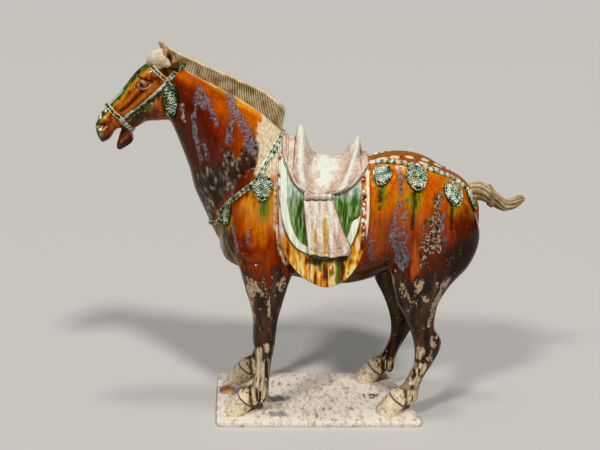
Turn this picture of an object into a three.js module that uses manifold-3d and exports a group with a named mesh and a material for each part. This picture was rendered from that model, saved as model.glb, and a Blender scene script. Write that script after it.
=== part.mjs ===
// A glazed pottery horse standing on its own thin slab, saddled, with a clipped mane and a knotted tail.
// Body, harness, saddle, tail and slab were joined as wet clay and fired together: one piece, one solid.
// Millimetres, +Z up. The horse looks along -X and its left side faces -Y; Y = 0 is its middle plane.
// The origin is the middle of the slab's underside.

import * as THREE from "three";
import { mergeVertices } from "three/addons/utils/BufferGeometryUtils.js";
import Module from "manifold-3d";

const wasm = await Module();
wasm.setup();

// Driving dimensions
const SLAB_THICK = 12;
const SLAB_CORNERS = [[-166, -105], [195, -105], [152, 96], [-180, 96]];
const SLAB_EDGE = 2;
const SLAB_ROUND = 14;
const HOOF_SINK = 3;
const FORE_STAGGER = -7;
const HIND_STAGGER = -29;
const STAGGER_FROM = 330;
const STAGGER_FULL = 215;
const HIND_HOOF_SHIFT = 268;
const LEG_STEPS = 13;
const BARREL = 2.2;

const BLANKET_RISE = 6;
const BLANKET_DROP = 300;
const PANEL_RISE = 10;
const PANEL_DROP = 240;
const SKIRT_RISE = 15;
const SKIRT_DROP = 120;
const SHEET_THICK = 11;
const SADDLE_BURY = 5;
const RIDGE_TURN = 1.1;
const SHEET_COLUMNS = 12;
const SHEET_PLACES = [-60, -30, 20, 62, 105];
const SKY = 560;
const WIDE = 150;
const AWAY = 400;

const STRAP_HALF = 5.5;
const STRAP_RISE = 3.5;
const BRIDLE_HALF = 3.6;
const BRIDLE_RISE = 2.6;
const ROSETTE_WIDE = 18;
const ROSETTE_TALL = 21;
const ROSETTE_RISE = 6;
const ROSETTE_SINK = 4;
const ROSETTE_SIDES = 8;

const MANE_LOCKS = 16;
const MANE_ROOT = { half: 12, sunk: 14 };
const MANE_TIP_HALF = 7;
const LOCK_GROOVE = 2.2;
const CLOTH_FOLDS = 4;
const FOLD_DEEP = 5;
const FOLD_START = 0.4;

// Outlines seen from the left side: [upper or front x, z], [lower or back x, z], half width, out from the middle
const TORSO = [
  [[-158, 352], [-160, 296], 22],
  [[-146, 410], [-148, 276], 54],
  [[-118, 462], [-118, 260], 68],
  [[-75, 494], [-78, 253], 76],
  [[-30, 478], [-30, 246], 80],
  [[20, 454], [15, 235], 83],
  [[62, 449], [62, 228], 84],
  [[105, 459], [108, 238], 84],
  [[145, 467], [145, 258], 84],
  [[190, 460], [190, 264], 83],
  [[232, 437], [228, 270], 76],
  [[264, 418], [260, 288], 60],
  [[287, 384], [286, 318], 32],
];

const NECK = [
  [[-10, 468], [-136, 275], 58],
  [[-48, 503], [-165, 318], 60],
  [[-80, 532], [-186, 365], 54],
  [[-115, 556], [-202, 405], 48],
  [[-150, 576], [-209, 437], 43],
  [[-185, 594], [-220, 470], 39],
  [[-215, 610], [-232, 503], 35],
  [[-238, 620], [-246, 534], 30],
];

const HEAD = [
  [[-232, 628], [-224, 546], 20],
  [[-248, 630], [-236, 525], 31],
  [[-270, 620], [-256, 521], 35],
  [[-292, 605], [-276, 520], 33],
  [[-312, 582], [-292, 514], 27],
  [[-330, 562], [-306, 508], 23],
  [[-345, 548], [-319, 504], 21],
  [[-357, 534], [-332, 496], 22],
  [[-366, 517], [-346, 488], 19],
  [[-366, 505], [-357, 486], 11],
];

const LOWER_JAW = [
  [[-284, 532], [-280, 515], 15],
  [[-300, 520], [-297, 503], 15],
  [[-314, 508], [-305, 488], 14],
  [[-326, 496], [-315, 475], 13],
  [[-332, 487], [-325, 471], 9],
];

const FORELEG = [
  [[-142, 372], [-40, 372], 30, 42],
  [[-146, 320], [-26, 316], 34, 48],
  [[-125, 280], [-30, 275], 33, 55],
  [[-114, 241], [-41, 243], 28, 60],
  [[-104, 205], [-51, 210], 24, 63],
  [[-101, 173], [-59, 181], 21, 65],
  [[-102, 153], [-62, 158], 20.5, 66],
  [[-100, 132], [-65, 134], 17.5, 66],
  [[-97, 106], [-70, 108], 15, 66],
  [[-99, 82], [-73, 84], 15, 66],
  [[-105, 62], [-75, 58], 17, 66],
  [[-108, 50], [-77, 36], 15, 66],
  [[-103, 41], [-83, 28], 9, 66],
];

const HINDLEG = [
  [[165, 392], [266, 388], 32, 44],
  [[142, 345], [290, 338], 37, 48],
  [[136, 285], [276, 285], 35, 54],
  [[140, 244], [234, 242], 30, 59],
  [[149, 213], [218, 215], 25, 62],
  [[161, 189], [213, 191], 22, 63],
  [[171, 165], [213, 168], 19, 64],
  [[177, 145], [225, 146], 18.5, 64],
  [[180, 128], [222, 126], 17, 64],
  [[180, 105], [211, 104], 15, 64],
  [[171, 78], [197, 78], 14.5, 64],
  [[160, 58], [189, 54], 16.5, 64],
  [[155, 48], [187, 36], 15, 64],
  [[160, 40], [182, 28], 9, 64],
];

const HOOF = [
  [[-102, 62], [-84, 46], 11, 66],
  [[-119, 55], [-92, 31], 17, 66],
  [[-130, 47], [-102, 24], 19.5, 66],
  [[-131, 44], [-104, 22], 17.5, 66],
  [[-134, 42], [-106, 20], 19.5, 66],
  [[-146, 27], [-111, 15], 21.5, 66],
  [[-153, SLAB_THICK], [-114, SLAB_THICK - 1], 22.5, 66],
  [[-152, SLAB_THICK - HOOF_SINK], [-115, SLAB_THICK - HOOF_SINK], 22, 66],
];

const TAIL = [
  [[264, 408], [270, 378], 13],
  [[291, 415], [297, 380], 16],
  [[302, 411], [308, 374], 16],
  [[322, 396], [325, 365], 14],
  [[338, 384], [338, 362], 12],
  [[352, 387], [352, 366], 11],
  [[364, 391], [363, 373], 8],
  [[370, 387], [370, 380], 3],
];

const TAIL_TIE = [
  [[306, 409], [306, 372], 15],
  [[308, 412], [308, 369], 18],
  [[314, 409], [312, 367], 18],
  [[317, 402], [315, 368], 14],
];

const EAR = [
  [[-236, 613], [-218, 612], 5, 24],
  [[-239, 624], [-222, 620], 6.5, 24],
  [[-247, 638], [-234, 632], 5, 22],
  [[-251, 650], [-247, 648], 1.5, 18],
];

const EYE = [
  [[-284, 596], [-284, 592], 3, 30],
  [[-284, 598], [-280, 583], 7, 30],
  [[-276, 599], [-271, 582], 8, 31],
  [[-266, 592], [-265, 587], 3, 31],
];

const NOSTRIL = [
  [[-356, 520], [-354, 510], 4, 15],
  [[-352, 523], [-348, 507], 6, 18],
  [[-345, 520], [-343, 508], 5, 17],
  [[-340, 516], [-340, 511], 2, 15],
];

const FORELOCK = [
  [[-278, 621], [-275, 611], 8],
  [[-268, 634], [-266, 608], 22],
  [[-254, 641], [-252, 606], 29],
  [[-240, 635], [-238, 606], 31],
  [[-227, 620], [-228, 606], 26],
];

const CREST = [[-240, 622], [-188, 596], [-121, 560], [-68, 526], [-50, 508]];
const MANE_TOP = [[-246, 646], [-200, 624], [-121, 589], [-70, 564], [-44, 540]];

// Saddle and cloths: how low each hangs along the horse, as [x, z], and the saddle's upper edge
const BLANKET_HEM = [
  [-50, 330], [-44, 308], [-27, 279], [-3, 259], [20, 250], [56, 263], [76, 290], [88, 330], [91, 380],
];
const PANEL_HEM = [
  [-38, 410], [-33, 362], [-20, 336], [-3, 315], [28, 301], [56, 315], [70, 335], [80, 366], [82, 420],
];
const SKIRT_HEM = [[-40, 462], [-31, 436], [-14, 417], [10, 410], [34, 414], [63, 433], [80, 447], [90, 452]];
const SADDLE_TOP = [
  [-40, 488], [-31, 494], [-26, 508], [-20, 514], [-13, 504], [-6, 484], [6, 467], [31, 461],
  [52, 463], [63, 476], [74, 491], [79, 491], [83, 474], [90, 468],
];
const CLOTH_KNOT = { left: -14, right: 33, low: 405, high: 419, thick: 8 };
const CLOTH = { top: 410, hem: 306, left: [-12, -6], right: [30, 66], rise: 15 };

// Harness, as [x, z] on the flank, with the places where it crosses the chest and the nose
const BREAST_STRAP = [[-54, 488], [-62, 474], [-73, 454], [-84, 428], [-103, 412], [-128, 392], [-146, 376]];
const CHEST_CROSSING = [[52, 362], [30, 352], [0, 346]];
const HIP_STRAP = [[88, 446], [112, 450], [145, 452], [178, 448], [212, 434], [244, 414], [264, 398]];
const ROSETTES = [[-83, 418], [-143, 372], [120, 434], [172, 430], [234, 408]];
const CHEEK_STRAP = [[-309, 527], [-286, 546], [-268, 562], [-250, 581], [-232, 600]];
const NOSEBAND = [[-338, 545], [-332, 540], [-322, 533], [-308, 526]];
const NOSE_CROSSING = { from: [-420, 620], to: [-325, 525] };
const BROWBAND = [[-258, 613], [-249, 601], [-242, 590]];
const CHEEK_LEAF = { at: [-233, 560], wide: 12, tall: 27 };
const BIT_BOSS = { at: [-309, 523], wide: 7, tall: 9 };

const GLAZE = new THREE.MeshStandardMaterial({ color: 0x8a4a22, roughness: 0.25, metalness: 0 });

const at = (x, y, z) => new THREE.Vector3(x, y, z);
const bulge = (value, fullness) => Math.sign(value) * Math.abs(value) ** (2 / fullness);

// A closed solid from points and triangles, turned so that its faces look out.
function closedSolid(points, triangles) {
  let volume = 0;
  for (const [a, b, c] of triangles) {
    volume += points[a].dot(points[b].clone().cross(points[c]));
  }
  const faces = volume > 0 ? triangles : triangles.map(([a, b, c]) => [a, c, b]);
  const geometry = new THREE.BufferGeometry().setFromPoints(points);
  geometry.setIndex(faces.flat());
  return solidOf(geometry);
}

function solidOf(geometry) {
  const bare = geometry.clone();
  bare.deleteAttribute("normal");
  bare.deleteAttribute("uv");
  const merged = mergeVertices(bare, 1e-3);
  const vertProperties = new Float32Array(merged.getAttribute("position").array);
  const triVerts = new Uint32Array(merged.index.array);
  return new wasm.Manifold(new wasm.Mesh({ numProp: 3, vertProperties, triVerts }));
}

function geometryOf(solid) {
  const mesh = solid.getMesh();
  const geometry = new THREE.BufferGeometry();
  geometry.setAttribute("position", new THREE.BufferAttribute(new Float32Array(mesh.vertProperties), 3));
  geometry.setIndex(Array.from(mesh.triVerts));
  geometry.computeVertexNormals();
  return geometry;
}

const joined = (solids) => solids.reduce((whole, next) => whole.add(next));

// The solid inside a row of rings, each closed on itself, with both ends filled.
function skin(rings) {
  const sides = rings[0].length;
  const points = rings.flat();
  const triangles = [];
  for (let row = 0; row + 1 < rings.length; row += 1) {
    for (let side = 0; side < sides; side += 1) {
      const a = row * sides + side;
      const b = row * sides + ((side + 1) % sides);
      triangles.push([a, b, b + sides], [a, b + sides, a + sides]);
    }
  }
  for (const [end, ring] of [[0, rings[0]], [1, rings.at(-1)]]) {
    const start = end ? points.length - sides - 1 : 0;
    const middle = ring.reduce((sum, point) => sum.add(point), at(0, 0, 0)).divideScalar(sides);
    const hub = points.push(middle) - 1;
    for (let side = 0; side < sides; side += 1) {
      const a = start + side;
      const b = start + ((side + 1) % sides);
      triangles.push(end ? [a, b, hub] : [b, a, hub]);
    }
  }
  return closedSolid(points, triangles);
}

// The solid between an outer and an inner grid of points of the same size.
function sheet(outer, inner) {
  const rows = outer.length;
  const columns = outer[0].length;
  const points = [...outer.flat(), ...inner.flat()];
  const below = rows * columns;
  const triangles = [];
  const quad = (a, b, c, d) => triangles.push([a, b, c], [a, c, d]);
  for (let row = 0; row + 1 < rows; row += 1) {
    for (let column = 0; column + 1 < columns; column += 1) {
      const a = row * columns + column;
      quad(a, a + 1, a + columns + 1, a + columns);
      quad(below + a, below + a + columns, below + a + columns + 1, below + a + 1);
    }
  }
  const last = (rows - 1) * columns;
  for (let column = 0; column + 1 < columns; column += 1) {
    quad(column, below + column, below + column + 1, column + 1);
    quad(last + column, last + column + 1, below + last + column + 1, below + last + column);
  }
  for (let row = 0; row + 1 < rows; row += 1) {
    const a = row * columns;
    const b = a + columns - 1;
    quad(a, a + columns, below + a + columns, below + a);
    quad(b, below + b, below + b + columns, b + columns);
  }
  return closedSolid(points, triangles);
}

// Smooth rings through stations; side is -1 for the near side and 1 for the far side of the middle plane.
function ringsThrough(stations, { steps, sides, fullness = BARREL, side = -1, shift = () => 0 }) {
  const curve = (pick) => new THREE.CatmullRomCurve3(stations.map(pick), false, "centripetal");
  const front = curve(([a]) => at(a[0], 0, a[1]));
  const back = curve(([, b]) => at(b[0], 0, b[1]));
  const breadth = curve(([, , half, out = 0]) => at(half, out, 0));
  return Array.from({ length: steps + 1 }, (_, step) => {
    const a = front.getPoint(step / steps);
    const b = back.getPoint(step / steps);
    const { x: half, y: out } = breadth.getPoint(step / steps);
    const middle = a.clone().lerp(b, 0.5);
    const arm = a.clone().sub(middle);
    return Array.from({ length: sides }, (_, turn) => {
      const angle = (2 * Math.PI * turn) / sides;
      const point = middle.clone().addScaledVector(arm, bulge(Math.cos(angle), fullness));
      point.y = side * out + half * bulge(Math.sin(angle), fullness);
      point.x += shift(point.z);
      return point;
    });
  });
}

const loft = (stations, options) => skin(ringsThrough(stations, options));
const bothSides = (make) => joined([make(-1), make(1)]);

// The torso's section at one place along the horse.
function torsoAt(x) {
  const next = THREE.MathUtils.clamp(TORSO.findIndex(([a]) => a[0] >= x), 1, TORSO.length - 1);
  const [before, after] = [TORSO[next - 1], TORSO[next]];
  const share = (x - before[0][0]) / (after[0][0] - before[0][0]);
  const top = THREE.MathUtils.lerp(before[0][1], after[0][1], share);
  const low = THREE.MathUtils.lerp(before[1][1], after[1][1], share);
  const half = THREE.MathUtils.lerp(before[2], after[2], share);
  return { top, half, middle: (top + low) / 2 };
}

// A point over the torso's near or far side: travel is the way down from the middle of the back.
// The sheet lies rise above the clay, falls straight below the widest place, and is sunk to its inner face.
function drapedPoint(x, travel, { rise, sunk = 0, crown = 0 }) {
  const { top, half, middle } = torsoAt(x);
  const high = top + rise - middle;
  const angle = Math.min(Math.PI / 2, Math.abs(travel) / high);
  const fall = Math.max(0, Math.abs(travel) - (high * Math.PI) / 2);
  const ridge = crown * Math.cos(Math.min(Math.PI / 2, RIDGE_TURN * angle)) ** 2;
  const y = Math.sign(travel) * (half + rise - sunk) * bulge(Math.sin(angle), BARREL);
  const z = middle + (high - sunk) * bulge(Math.cos(angle), BARREL);
  return at(x, y, z + ridge - fall);
}

// How far out a sheet lies at a given height.
function drapedOut(x, z, rise) {
  const { top, half, middle } = torsoAt(x);
  const lift = THREE.MathUtils.clamp((z - middle) / (top + rise - middle), 0, 1);
  return (half + rise) * (1 - lift ** BARREL) ** (1 / BARREL);
}

// Everything inside an outline seen from the side: a hem below and nothing above.
function underHem(hem) {
  const outline = [[hem[0][0], SKY], ...hem, [hem.at(-1)[0], SKY]];
  const shape = new THREE.Shape(outline.map(([x, z]) => new THREE.Vector2(x, z)));
  const geometry = new THREE.ExtrudeGeometry(shape, { depth: 2 * WIDE, bevelEnabled: false });
  return solidOf(geometry.rotateX(Math.PI / 2).translate(0, WIDE, 0));
}

// A sheet over the back, cut to its hem; tops lists its places along the horse with the height of each.
function drapedSheet(tops, hem, drop, { rise, sunk }) {
  const spread = (outer) => tops.map(([x, z]) => {
    const crown = outer && z ? z - torsoAt(x).top - rise : 0;
    return Array.from({ length: SHEET_COLUMNS + 1 }, (_, column) =>
      drapedPoint(x, drop * ((2 * column) / SHEET_COLUMNS - 1), { rise, sunk: outer ? 0 : sunk, crown }));
  });
  return sheet(spread(true), spread(false)).intersect(underHem(hem));
}

// The cloth tied over the saddle: a rolled knot, and a gathered fall that widens to its hem.
function saddleCloth(side) {
  const columns = 3 * CLOTH_FOLDS;
  const rows = 3;
  const face = (sunk) => Array.from({ length: rows + 1 }, (_, row) => {
    const down = row / rows;
    const z = THREE.MathUtils.lerp(CLOTH.top, CLOTH.hem, down);
    return Array.from({ length: columns + 1 }, (_, column) => {
      const across = column / columns;
      const left = THREE.MathUtils.lerp(CLOTH.left[0], CLOTH.left[1], down);
      const right = THREE.MathUtils.lerp(CLOTH.right[0], CLOTH.right[1], down);
      const x = THREE.MathUtils.lerp(left, right, across);
      const wave = FOLD_DEEP * Math.cos(2 * Math.PI * CLOTH_FOLDS * across) * THREE.MathUtils.lerp(FOLD_START, 1, down);
      const lie = drapedOut(x, z, CLOTH.rise);
      return at(x, side * (sunk ? lie - CLOTH.rise : lie + wave), z);
    });
  });
  const { left, right, low, high, thick } = CLOTH_KNOT;
  const roll = [0, 0.08, 0.5, 0.92, 1].map((share) => {
    const x = THREE.MathUtils.lerp(left, right, share);
    const plump = share === 0 || share === 1 ? 0.6 : 1;
    const out = drapedOut(x, (low + high) / 2, SKIRT_RISE);
    return Array.from({ length: 6 }, (_, turn) => {
      const angle = (2 * Math.PI * turn) / 6;
      const z = (low + high) / 2 + plump * ((high - low) / 2) * Math.cos(angle);
      return at(x, side * (out + plump * thick * Math.sin(angle)), z);
    });
  });
  return joined([sheet(face(false), face(true)), skin(roll)]);
}

// A clipped mane: a ridge along the crest, cut into upright locks.
function mane() {
  const steps = 2 * MANE_LOCKS;
  const curve = (outline) => new THREE.CatmullRomCurve3(outline.map(([x, z]) => at(x, 0, z)));
  const [foot, top] = [curve(CREST), curve(MANE_TOP)];
  const rings = Array.from({ length: steps + 1 }, (_, step) => {
    const root = foot.getPoint(step / steps);
    const tip = top.getPoint(step / steps);
    const buried = root.clone().add(root.clone().sub(tip).setLength(MANE_ROOT.sunk));
    const cut = (step % 2) * LOCK_GROOVE;
    const row = [[buried, MANE_ROOT.half], [root, MANE_ROOT.half - cut], [tip, MANE_TIP_HALF - cut]];
    const near = row.map(([point, wide]) => at(point.x, -wide, point.z));
    const far = row.map(([point, wide]) => at(point.x, wide, point.z)).reverse();
    return [...near, ...far];
  });
  return skin(rings);
}

function hoofAndLeg(stations, side, stagger, hoofShift) {
  const far = side > 0 ? stagger : 0;
  const shift = (z) => far * (1 - THREE.MathUtils.smoothstep(z, STAGGER_FULL, STAGGER_FROM));
  const leg = loft(stations, { steps: LEG_STEPS, sides: 9, side, shift });
  const hoof = loft(HOOF, { steps: 7, sides: 9, fullness: 2.3, side, shift: () => hoofShift + far });
  return leg.add(hoof);
}

function slab() {
  const corners = SLAB_CORNERS.map(([x, y]) => new THREE.Vector2(x, y));
  const outline = new THREE.Shape();
  corners.forEach((corner, place) => {
    const [before, after] = [corners.at(place - 1), corners[(place + 1) % corners.length]];
    const toward = (other) => other.clone().sub(corner).setLength(SLAB_ROUND).add(corner);
    const [start, end] = [toward(before), toward(after)];
    outline[place ? "lineTo" : "moveTo"](start.x, start.y);
    outline.quadraticCurveTo(corner.x, corner.y, end.x, end.y);
  });
  const depth = SLAB_THICK - 2 * SLAB_EDGE;
  const bevel = { bevelThickness: SLAB_EDGE, bevelSize: SLAB_EDGE, bevelOffset: -SLAB_EDGE, bevelSegments: 1 };
  const geometry = new THREE.ExtrudeGeometry(outline, { depth, curveSegments: 3, ...bevel });
  return solidOf(geometry.translate(0, 0, SLAB_EDGE));
}

// Where a line from outside meets the body, with the direction its surface faces.
function surfaceFinder(body) {
  const target = new THREE.Mesh(geometryOf(body), GLAZE);
  const ray = new THREE.Raycaster();
  return (from, to) => {
    ray.set(from, to.clone().sub(from).normalize());
    const hit = ray.intersectObject(target)[0];
    return { point: hit.point, normal: hit.normal };
  };
}

// A flat strap laid over surface points, half sunk in the clay.
function strap(places, half, rise) {
  const path = new THREE.CatmullRomCurve3(places.map(({ point }) => point), false, "centripetal");
  const last = places.length - 1;
  const rings = places.map(({ normal }, place) => {
    const point = path.getPoint(place / last);
    const across = path.getTangent(place / last).cross(normal).normalize();
    return [[1, -1], [0.8, 1], [-0.8, 1], [-1, -1]].map(([aside, up]) => {
      const spot = point.clone().addScaledVector(across, half * aside);
      return spot.addScaledVector(normal, rise * up);
    });
  });
  return skin(rings);
}

// A leaf-shaped boss with a raised rim and a domed field, its point downward.
function rosette({ point, normal }, wide, tall, rise) {
  const down = at(0, 0, -1).projectOnPlane(normal).normalize();
  const across = down.clone().cross(normal);
  const rims = [[1, -ROSETTE_SINK], [0.95, rise * 0.8], [0.75, rise * 0.4]];
  return skin(rims.map(([scale, high]) => Array.from({ length: ROSETTE_SIDES }, (_, turn) => {
    const angle = (2 * Math.PI * turn) / ROSETTE_SIDES;
    const droop = tall * Math.cos(angle) * (1 + 0.15 * Math.max(0, Math.cos(angle)));
    const spread = wide * Math.sin(angle) * (1 - 0.12 * Math.cos(angle));
    const spot = point.clone().addScaledVector(down, scale * droop).addScaledVector(across, scale * spread);
    return spot.addScaledVector(normal, high);
  })));
}

function bareHorse() {
  const solids = [
    loft(TORSO, { steps: 16, sides: 18 }),
    loft(NECK, { steps: 9, sides: 16, fullness: 2.1 }),
    loft(HEAD, { steps: 14, sides: 14, fullness: 2.5 }),
    loft(LOWER_JAW, { steps: 6, sides: 10, fullness: 2.3 }),
    loft(TAIL, { steps: 9, sides: 10 }),
    loft(TAIL_TIE, { steps: 3, sides: 10 }),
    loft(FORELOCK, { steps: 5, sides: 12 }),
    mane(),
    slab(),
  ];
  for (const side of [-1, 1]) {
    solids.push(hoofAndLeg(FORELEG, side, FORE_STAGGER, 0));
    solids.push(hoofAndLeg(HINDLEG, side, HIND_STAGGER, HIND_HOOF_SHIFT));
    solids.push(loft(EAR, { steps: 4, sides: 6, side }));
    solids.push(loft(EYE, { steps: 4, sides: 8, side }));
    solids.push(loft(NOSTRIL, { steps: 3, sides: 6, side }));
  }
  return joined(solids);
}

function tack(body) {
  const find = surfaceFinder(body);
  const flank = (side) => ([x, z]) => find(at(x, side * AWAY, z), at(x, 0, z));
  const chest = (side) => ([y, z]) => find(at(-AWAY, side * y, z), at(0, side * y, z));
  const nose = find(...Object.values(NOSE_CROSSING).map(([x, z]) => at(x, 0, z)));
  return bothSides((side) => {
    const onFlank = flank(side);
    const breast = [...BREAST_STRAP.map(onFlank), ...CHEST_CROSSING.map(chest(side))];
    const straps = [
      strap(breast, STRAP_HALF, STRAP_RISE),
      strap(HIP_STRAP.map(onFlank), STRAP_HALF, STRAP_RISE),
      strap(CHEEK_STRAP.map(onFlank), BRIDLE_HALF, BRIDLE_RISE),
      strap([nose, ...NOSEBAND.map(onFlank)], BRIDLE_HALF, BRIDLE_RISE),
      strap(BROWBAND.map(onFlank), BRIDLE_HALF, BRIDLE_RISE),
    ];
    const bosses = ROSETTES.map((place) =>
      rosette(onFlank(place), ROSETTE_WIDE, ROSETTE_TALL, ROSETTE_RISE));
    const leaves = [CHEEK_LEAF, BIT_BOSS].map(({ at: place, wide, tall }) =>
      rosette(onFlank(place), wide, tall, ROSETTE_RISE));
    return joined([...straps, ...bosses, ...leaves]);
  });
}

function saddlery() {
  const plain = SHEET_PLACES.map((x) => [x]);
  return joined([
    drapedSheet(plain, BLANKET_HEM, BLANKET_DROP, { rise: BLANKET_RISE, sunk: SHEET_THICK }),
    drapedSheet(plain, PANEL_HEM, PANEL_DROP, { rise: PANEL_RISE, sunk: SHEET_THICK }),
    drapedSheet(SADDLE_TOP, SKIRT_HEM, SKIRT_DROP, { rise: SKIRT_RISE, sunk: SKIRT_RISE + SADDLE_BURY }),
    bothSides(saddleCloth),
  ]);
}

const body = bareHorse();
const horse = new THREE.Mesh(geometryOf(joined([body, tack(body), saddlery()])), GLAZE);
horse.name = "sancai_horse";

const part = new THREE.Group();
part.add(horse);

export default part;
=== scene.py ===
"""Looks of a lead-glazed pottery horse standing on its slab.

Lengths are millimetres in the part's frame and become metres when a mesh is made. The head is towards -X,
the tail towards +X, and the side that the camera sees is towards -Y. Outlines are (x, z) seen from that side.
The floor, the lights and the camera are placed in metres.
"""

import math

import bmesh
import bpy
import numpy as np
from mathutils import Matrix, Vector
from mathutils.bvhtree import BVHTree

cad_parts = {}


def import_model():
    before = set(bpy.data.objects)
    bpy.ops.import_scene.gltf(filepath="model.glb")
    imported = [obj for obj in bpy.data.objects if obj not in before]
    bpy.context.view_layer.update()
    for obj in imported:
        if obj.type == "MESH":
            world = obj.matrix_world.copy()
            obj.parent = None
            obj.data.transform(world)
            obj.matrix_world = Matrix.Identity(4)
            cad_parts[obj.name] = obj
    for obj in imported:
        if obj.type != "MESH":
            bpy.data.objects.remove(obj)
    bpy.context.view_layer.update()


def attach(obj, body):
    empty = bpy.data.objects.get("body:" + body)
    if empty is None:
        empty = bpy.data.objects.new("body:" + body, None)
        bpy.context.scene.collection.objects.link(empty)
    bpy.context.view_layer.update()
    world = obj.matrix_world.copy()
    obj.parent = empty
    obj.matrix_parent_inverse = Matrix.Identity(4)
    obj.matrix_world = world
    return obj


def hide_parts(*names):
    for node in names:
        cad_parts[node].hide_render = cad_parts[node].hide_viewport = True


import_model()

MM = 0.001
NEAR, FAR = -1, 1
# A line that looks for the surface starts this far out.
AWAY = 400
NOSE_RAY = ((-420, 0, 620), (-325, 0, 525))
FLOOR_REACH = 60
FLOOR_COLOUR = (0.56, 0.55, 0.53, 1)
FLOOR_ROUGH = 0.7
# Lights: name, place, strength, and whether they mirror in the glaze.
LIGHTS = [
    ("key", (0.7, -1.5, 2.3), 1.9, False), ("second", (-1.1, -1.5, 2.2), 1.3, True),
    ("top", (0.1, -0.1, 2.6), 0.7, True),
]
LIGHT_AIM = (0, 0, 0.3)
LIGHT_COLOUR = (1.0, 0.97, 0.93)
SUN_WIDTH = 8
WORLD_COLOUR = (0.8, 0.82, 0.85, 1)
WORLD_STRENGTH = 0.2
CAMERA_PLACE = (-0.020, -1.521, 0.752)
CAMERA_SENSOR, CAMERA_LENS = 36, 54
CAMERA_DROP = 246 / 900
# The glaze: how it bends light, how rough it is where clouded or gone, and its fine relief.
GLAZE_IOR = 1.58
CLOUD_ROUGH, CLAY_ROUGH = 0.4, 0.82
BUMP_STRENGTH, BUMP_DEEP = 0.35, 0.0012

BODY_VOXEL = 2.2
BODY_TRIANGLES = 195000
FAIRING_ROUNDS = 12
FAIR_IN, FAIR_OUT = 0.5, 0.52
FILL_SHARE = 0.6
FILLET_ROUNDS = 26
HEAD_FILLET_ROUNDS = 4
JAW_FILLET_ROUNDS = 16
HAND_WAVE = 0.7
# The filling of joints fades out between these places towards the head and the hooves.
HEAD_END, HOOF_END = (-262, -215), (70, 110)
# The filling under the jaw grows to full between these places.
JAW_FROM, JAW_UNDER = (-245, -262), (532, 522)
# The head in front of this place and the hooves below this height have the finest mesh.
HEAD_FINE = -226
HOOF_FINE = 58

BARREL = 2.2
NECK_FULL = 2.1
HEAD_FULL = 2.5
JAW_FULL = 2.3

SLAB_THICK = 12
SLAB_CORNERS = [(-166, -105), (195, -105), (152, 96), (-180, 96)]
SLAB_ROUND = 14
SLAB_EDGE = 2.5

FORE_STAGGER = -7
HIND_STAGGER = -29
STAGGER_FROM, STAGGER_FULL = 330, 215
HIND_HOOF_SHIFT = 268

# Each station is one section of a form: its upper or front point, its lower or back point,
# half its width, and for a paired form how far out it lies.
TORSO = [
    ((-158, 352), (-160, 296), 22), ((-146, 410), (-148, 276), 54), ((-118, 462), (-118, 260), 68),
    ((-75, 494), (-78, 253), 76), ((-30, 478), (-30, 246), 80), ((20, 454), (15, 237), 83),
    ((62, 449), (62, 234), 84), ((105, 459), (108, 245), 84), ((145, 467), (145, 261), 84),
    ((190, 460), (190, 264), 83), ((232, 437), (228, 270), 76), ((264, 418), (260, 288), 60),
    ((287, 384), (286, 318), 32),
]
NECK = [
    ((-10, 468), (-136, 275), 58), ((-48, 503), (-165, 318), 60), ((-80, 532), (-186, 365), 54),
    ((-115, 556), (-202, 405), 48), ((-150, 576), (-209, 437), 43), ((-185, 594), (-220, 470), 39),
    ((-215, 610), (-232, 503), 35), ((-238, 620), (-246, 534), 30),
]
HEAD = [
    ((-232, 628), (-224, 546), 20), ((-248, 630), (-236, 525), 31), ((-270, 620), (-256, 521), 35),
    ((-292, 605), (-276, 520), 33), ((-312, 582), (-292, 514), 27), ((-330, 562), (-306, 508), 23),
    ((-345, 548), (-318, 511), 21), ((-357, 534), (-333, 505), 22), ((-366, 517), (-345, 489), 19),
    ((-366, 503), (-357, 483), 11),
]
LOWER_JAW = [
    ((-284, 534), (-282, 518), 15), ((-300, 524), (-296, 510), 15), ((-316, 513), (-306, 502), 14),
    ((-325, 503), (-304, 493), 13), ((-329, 491), (-306, 484), 13), ((-333, 480), (-318, 475), 11),
    ((-333, 473), (-327, 470), 6),
]
FORELEG = [
    ((-142, 372), (-40, 372), 30, 42), ((-146, 320), (-26, 316), 34, 48),
    ((-125, 280), (-30, 275), 33, 55), ((-114, 241), (-41, 243), 28, 60),
    ((-104, 205), (-51, 210), 24, 63), ((-101, 173), (-59, 181), 21, 65),
    ((-102, 153), (-62, 158), 20.5, 66), ((-100, 132), (-65, 134), 17.5, 66),
    ((-97, 106), (-70, 108), 15, 66), ((-99, 82), (-73, 84), 15, 66), ((-105, 62), (-75, 58), 17, 66),
    ((-108, 50), (-77, 36), 15, 66), ((-103, 41), (-83, 28), 9, 66),
]
HINDLEG = [
    ((165, 392), (266, 388), 32, 44), ((142, 345), (285, 338), 37, 48), ((136, 285), (270, 285), 35, 54),
    ((140, 244), (234, 242), 30, 59), ((149, 213), (218, 215), 25, 62), ((161, 189), (213, 191), 22, 63),
    ((171, 165), (213, 168), 19, 64), ((177, 145), (225, 146), 18.5, 64), ((180, 128), (222, 126), 17, 64),
    ((180, 105), (211, 104), 15, 64), ((171, 78), (197, 78), 14.5, 64), ((160, 58), (189, 54), 16.5, 64),
    ((155, 48), (187, 36), 15, 64), ((160, 40), (182, 28), 9, 64),
]
HOOF = [
    ((-102, 62), (-84, 46), 11, 66), ((-119, 55), (-92, 31), 17, 66), ((-130, 47), (-102, 24), 19.5, 66),
    ((-131, 44), (-104, 22), 17.5, 66), ((-134, 42), (-106, 20), 19.5, 66),
    ((-146, 27), (-111, 15), 21.5, 66), ((-153, 12), (-114, 11), 22.5, 66),
    ((-152, 9), (-115, 9), 22, 66),
]
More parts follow.
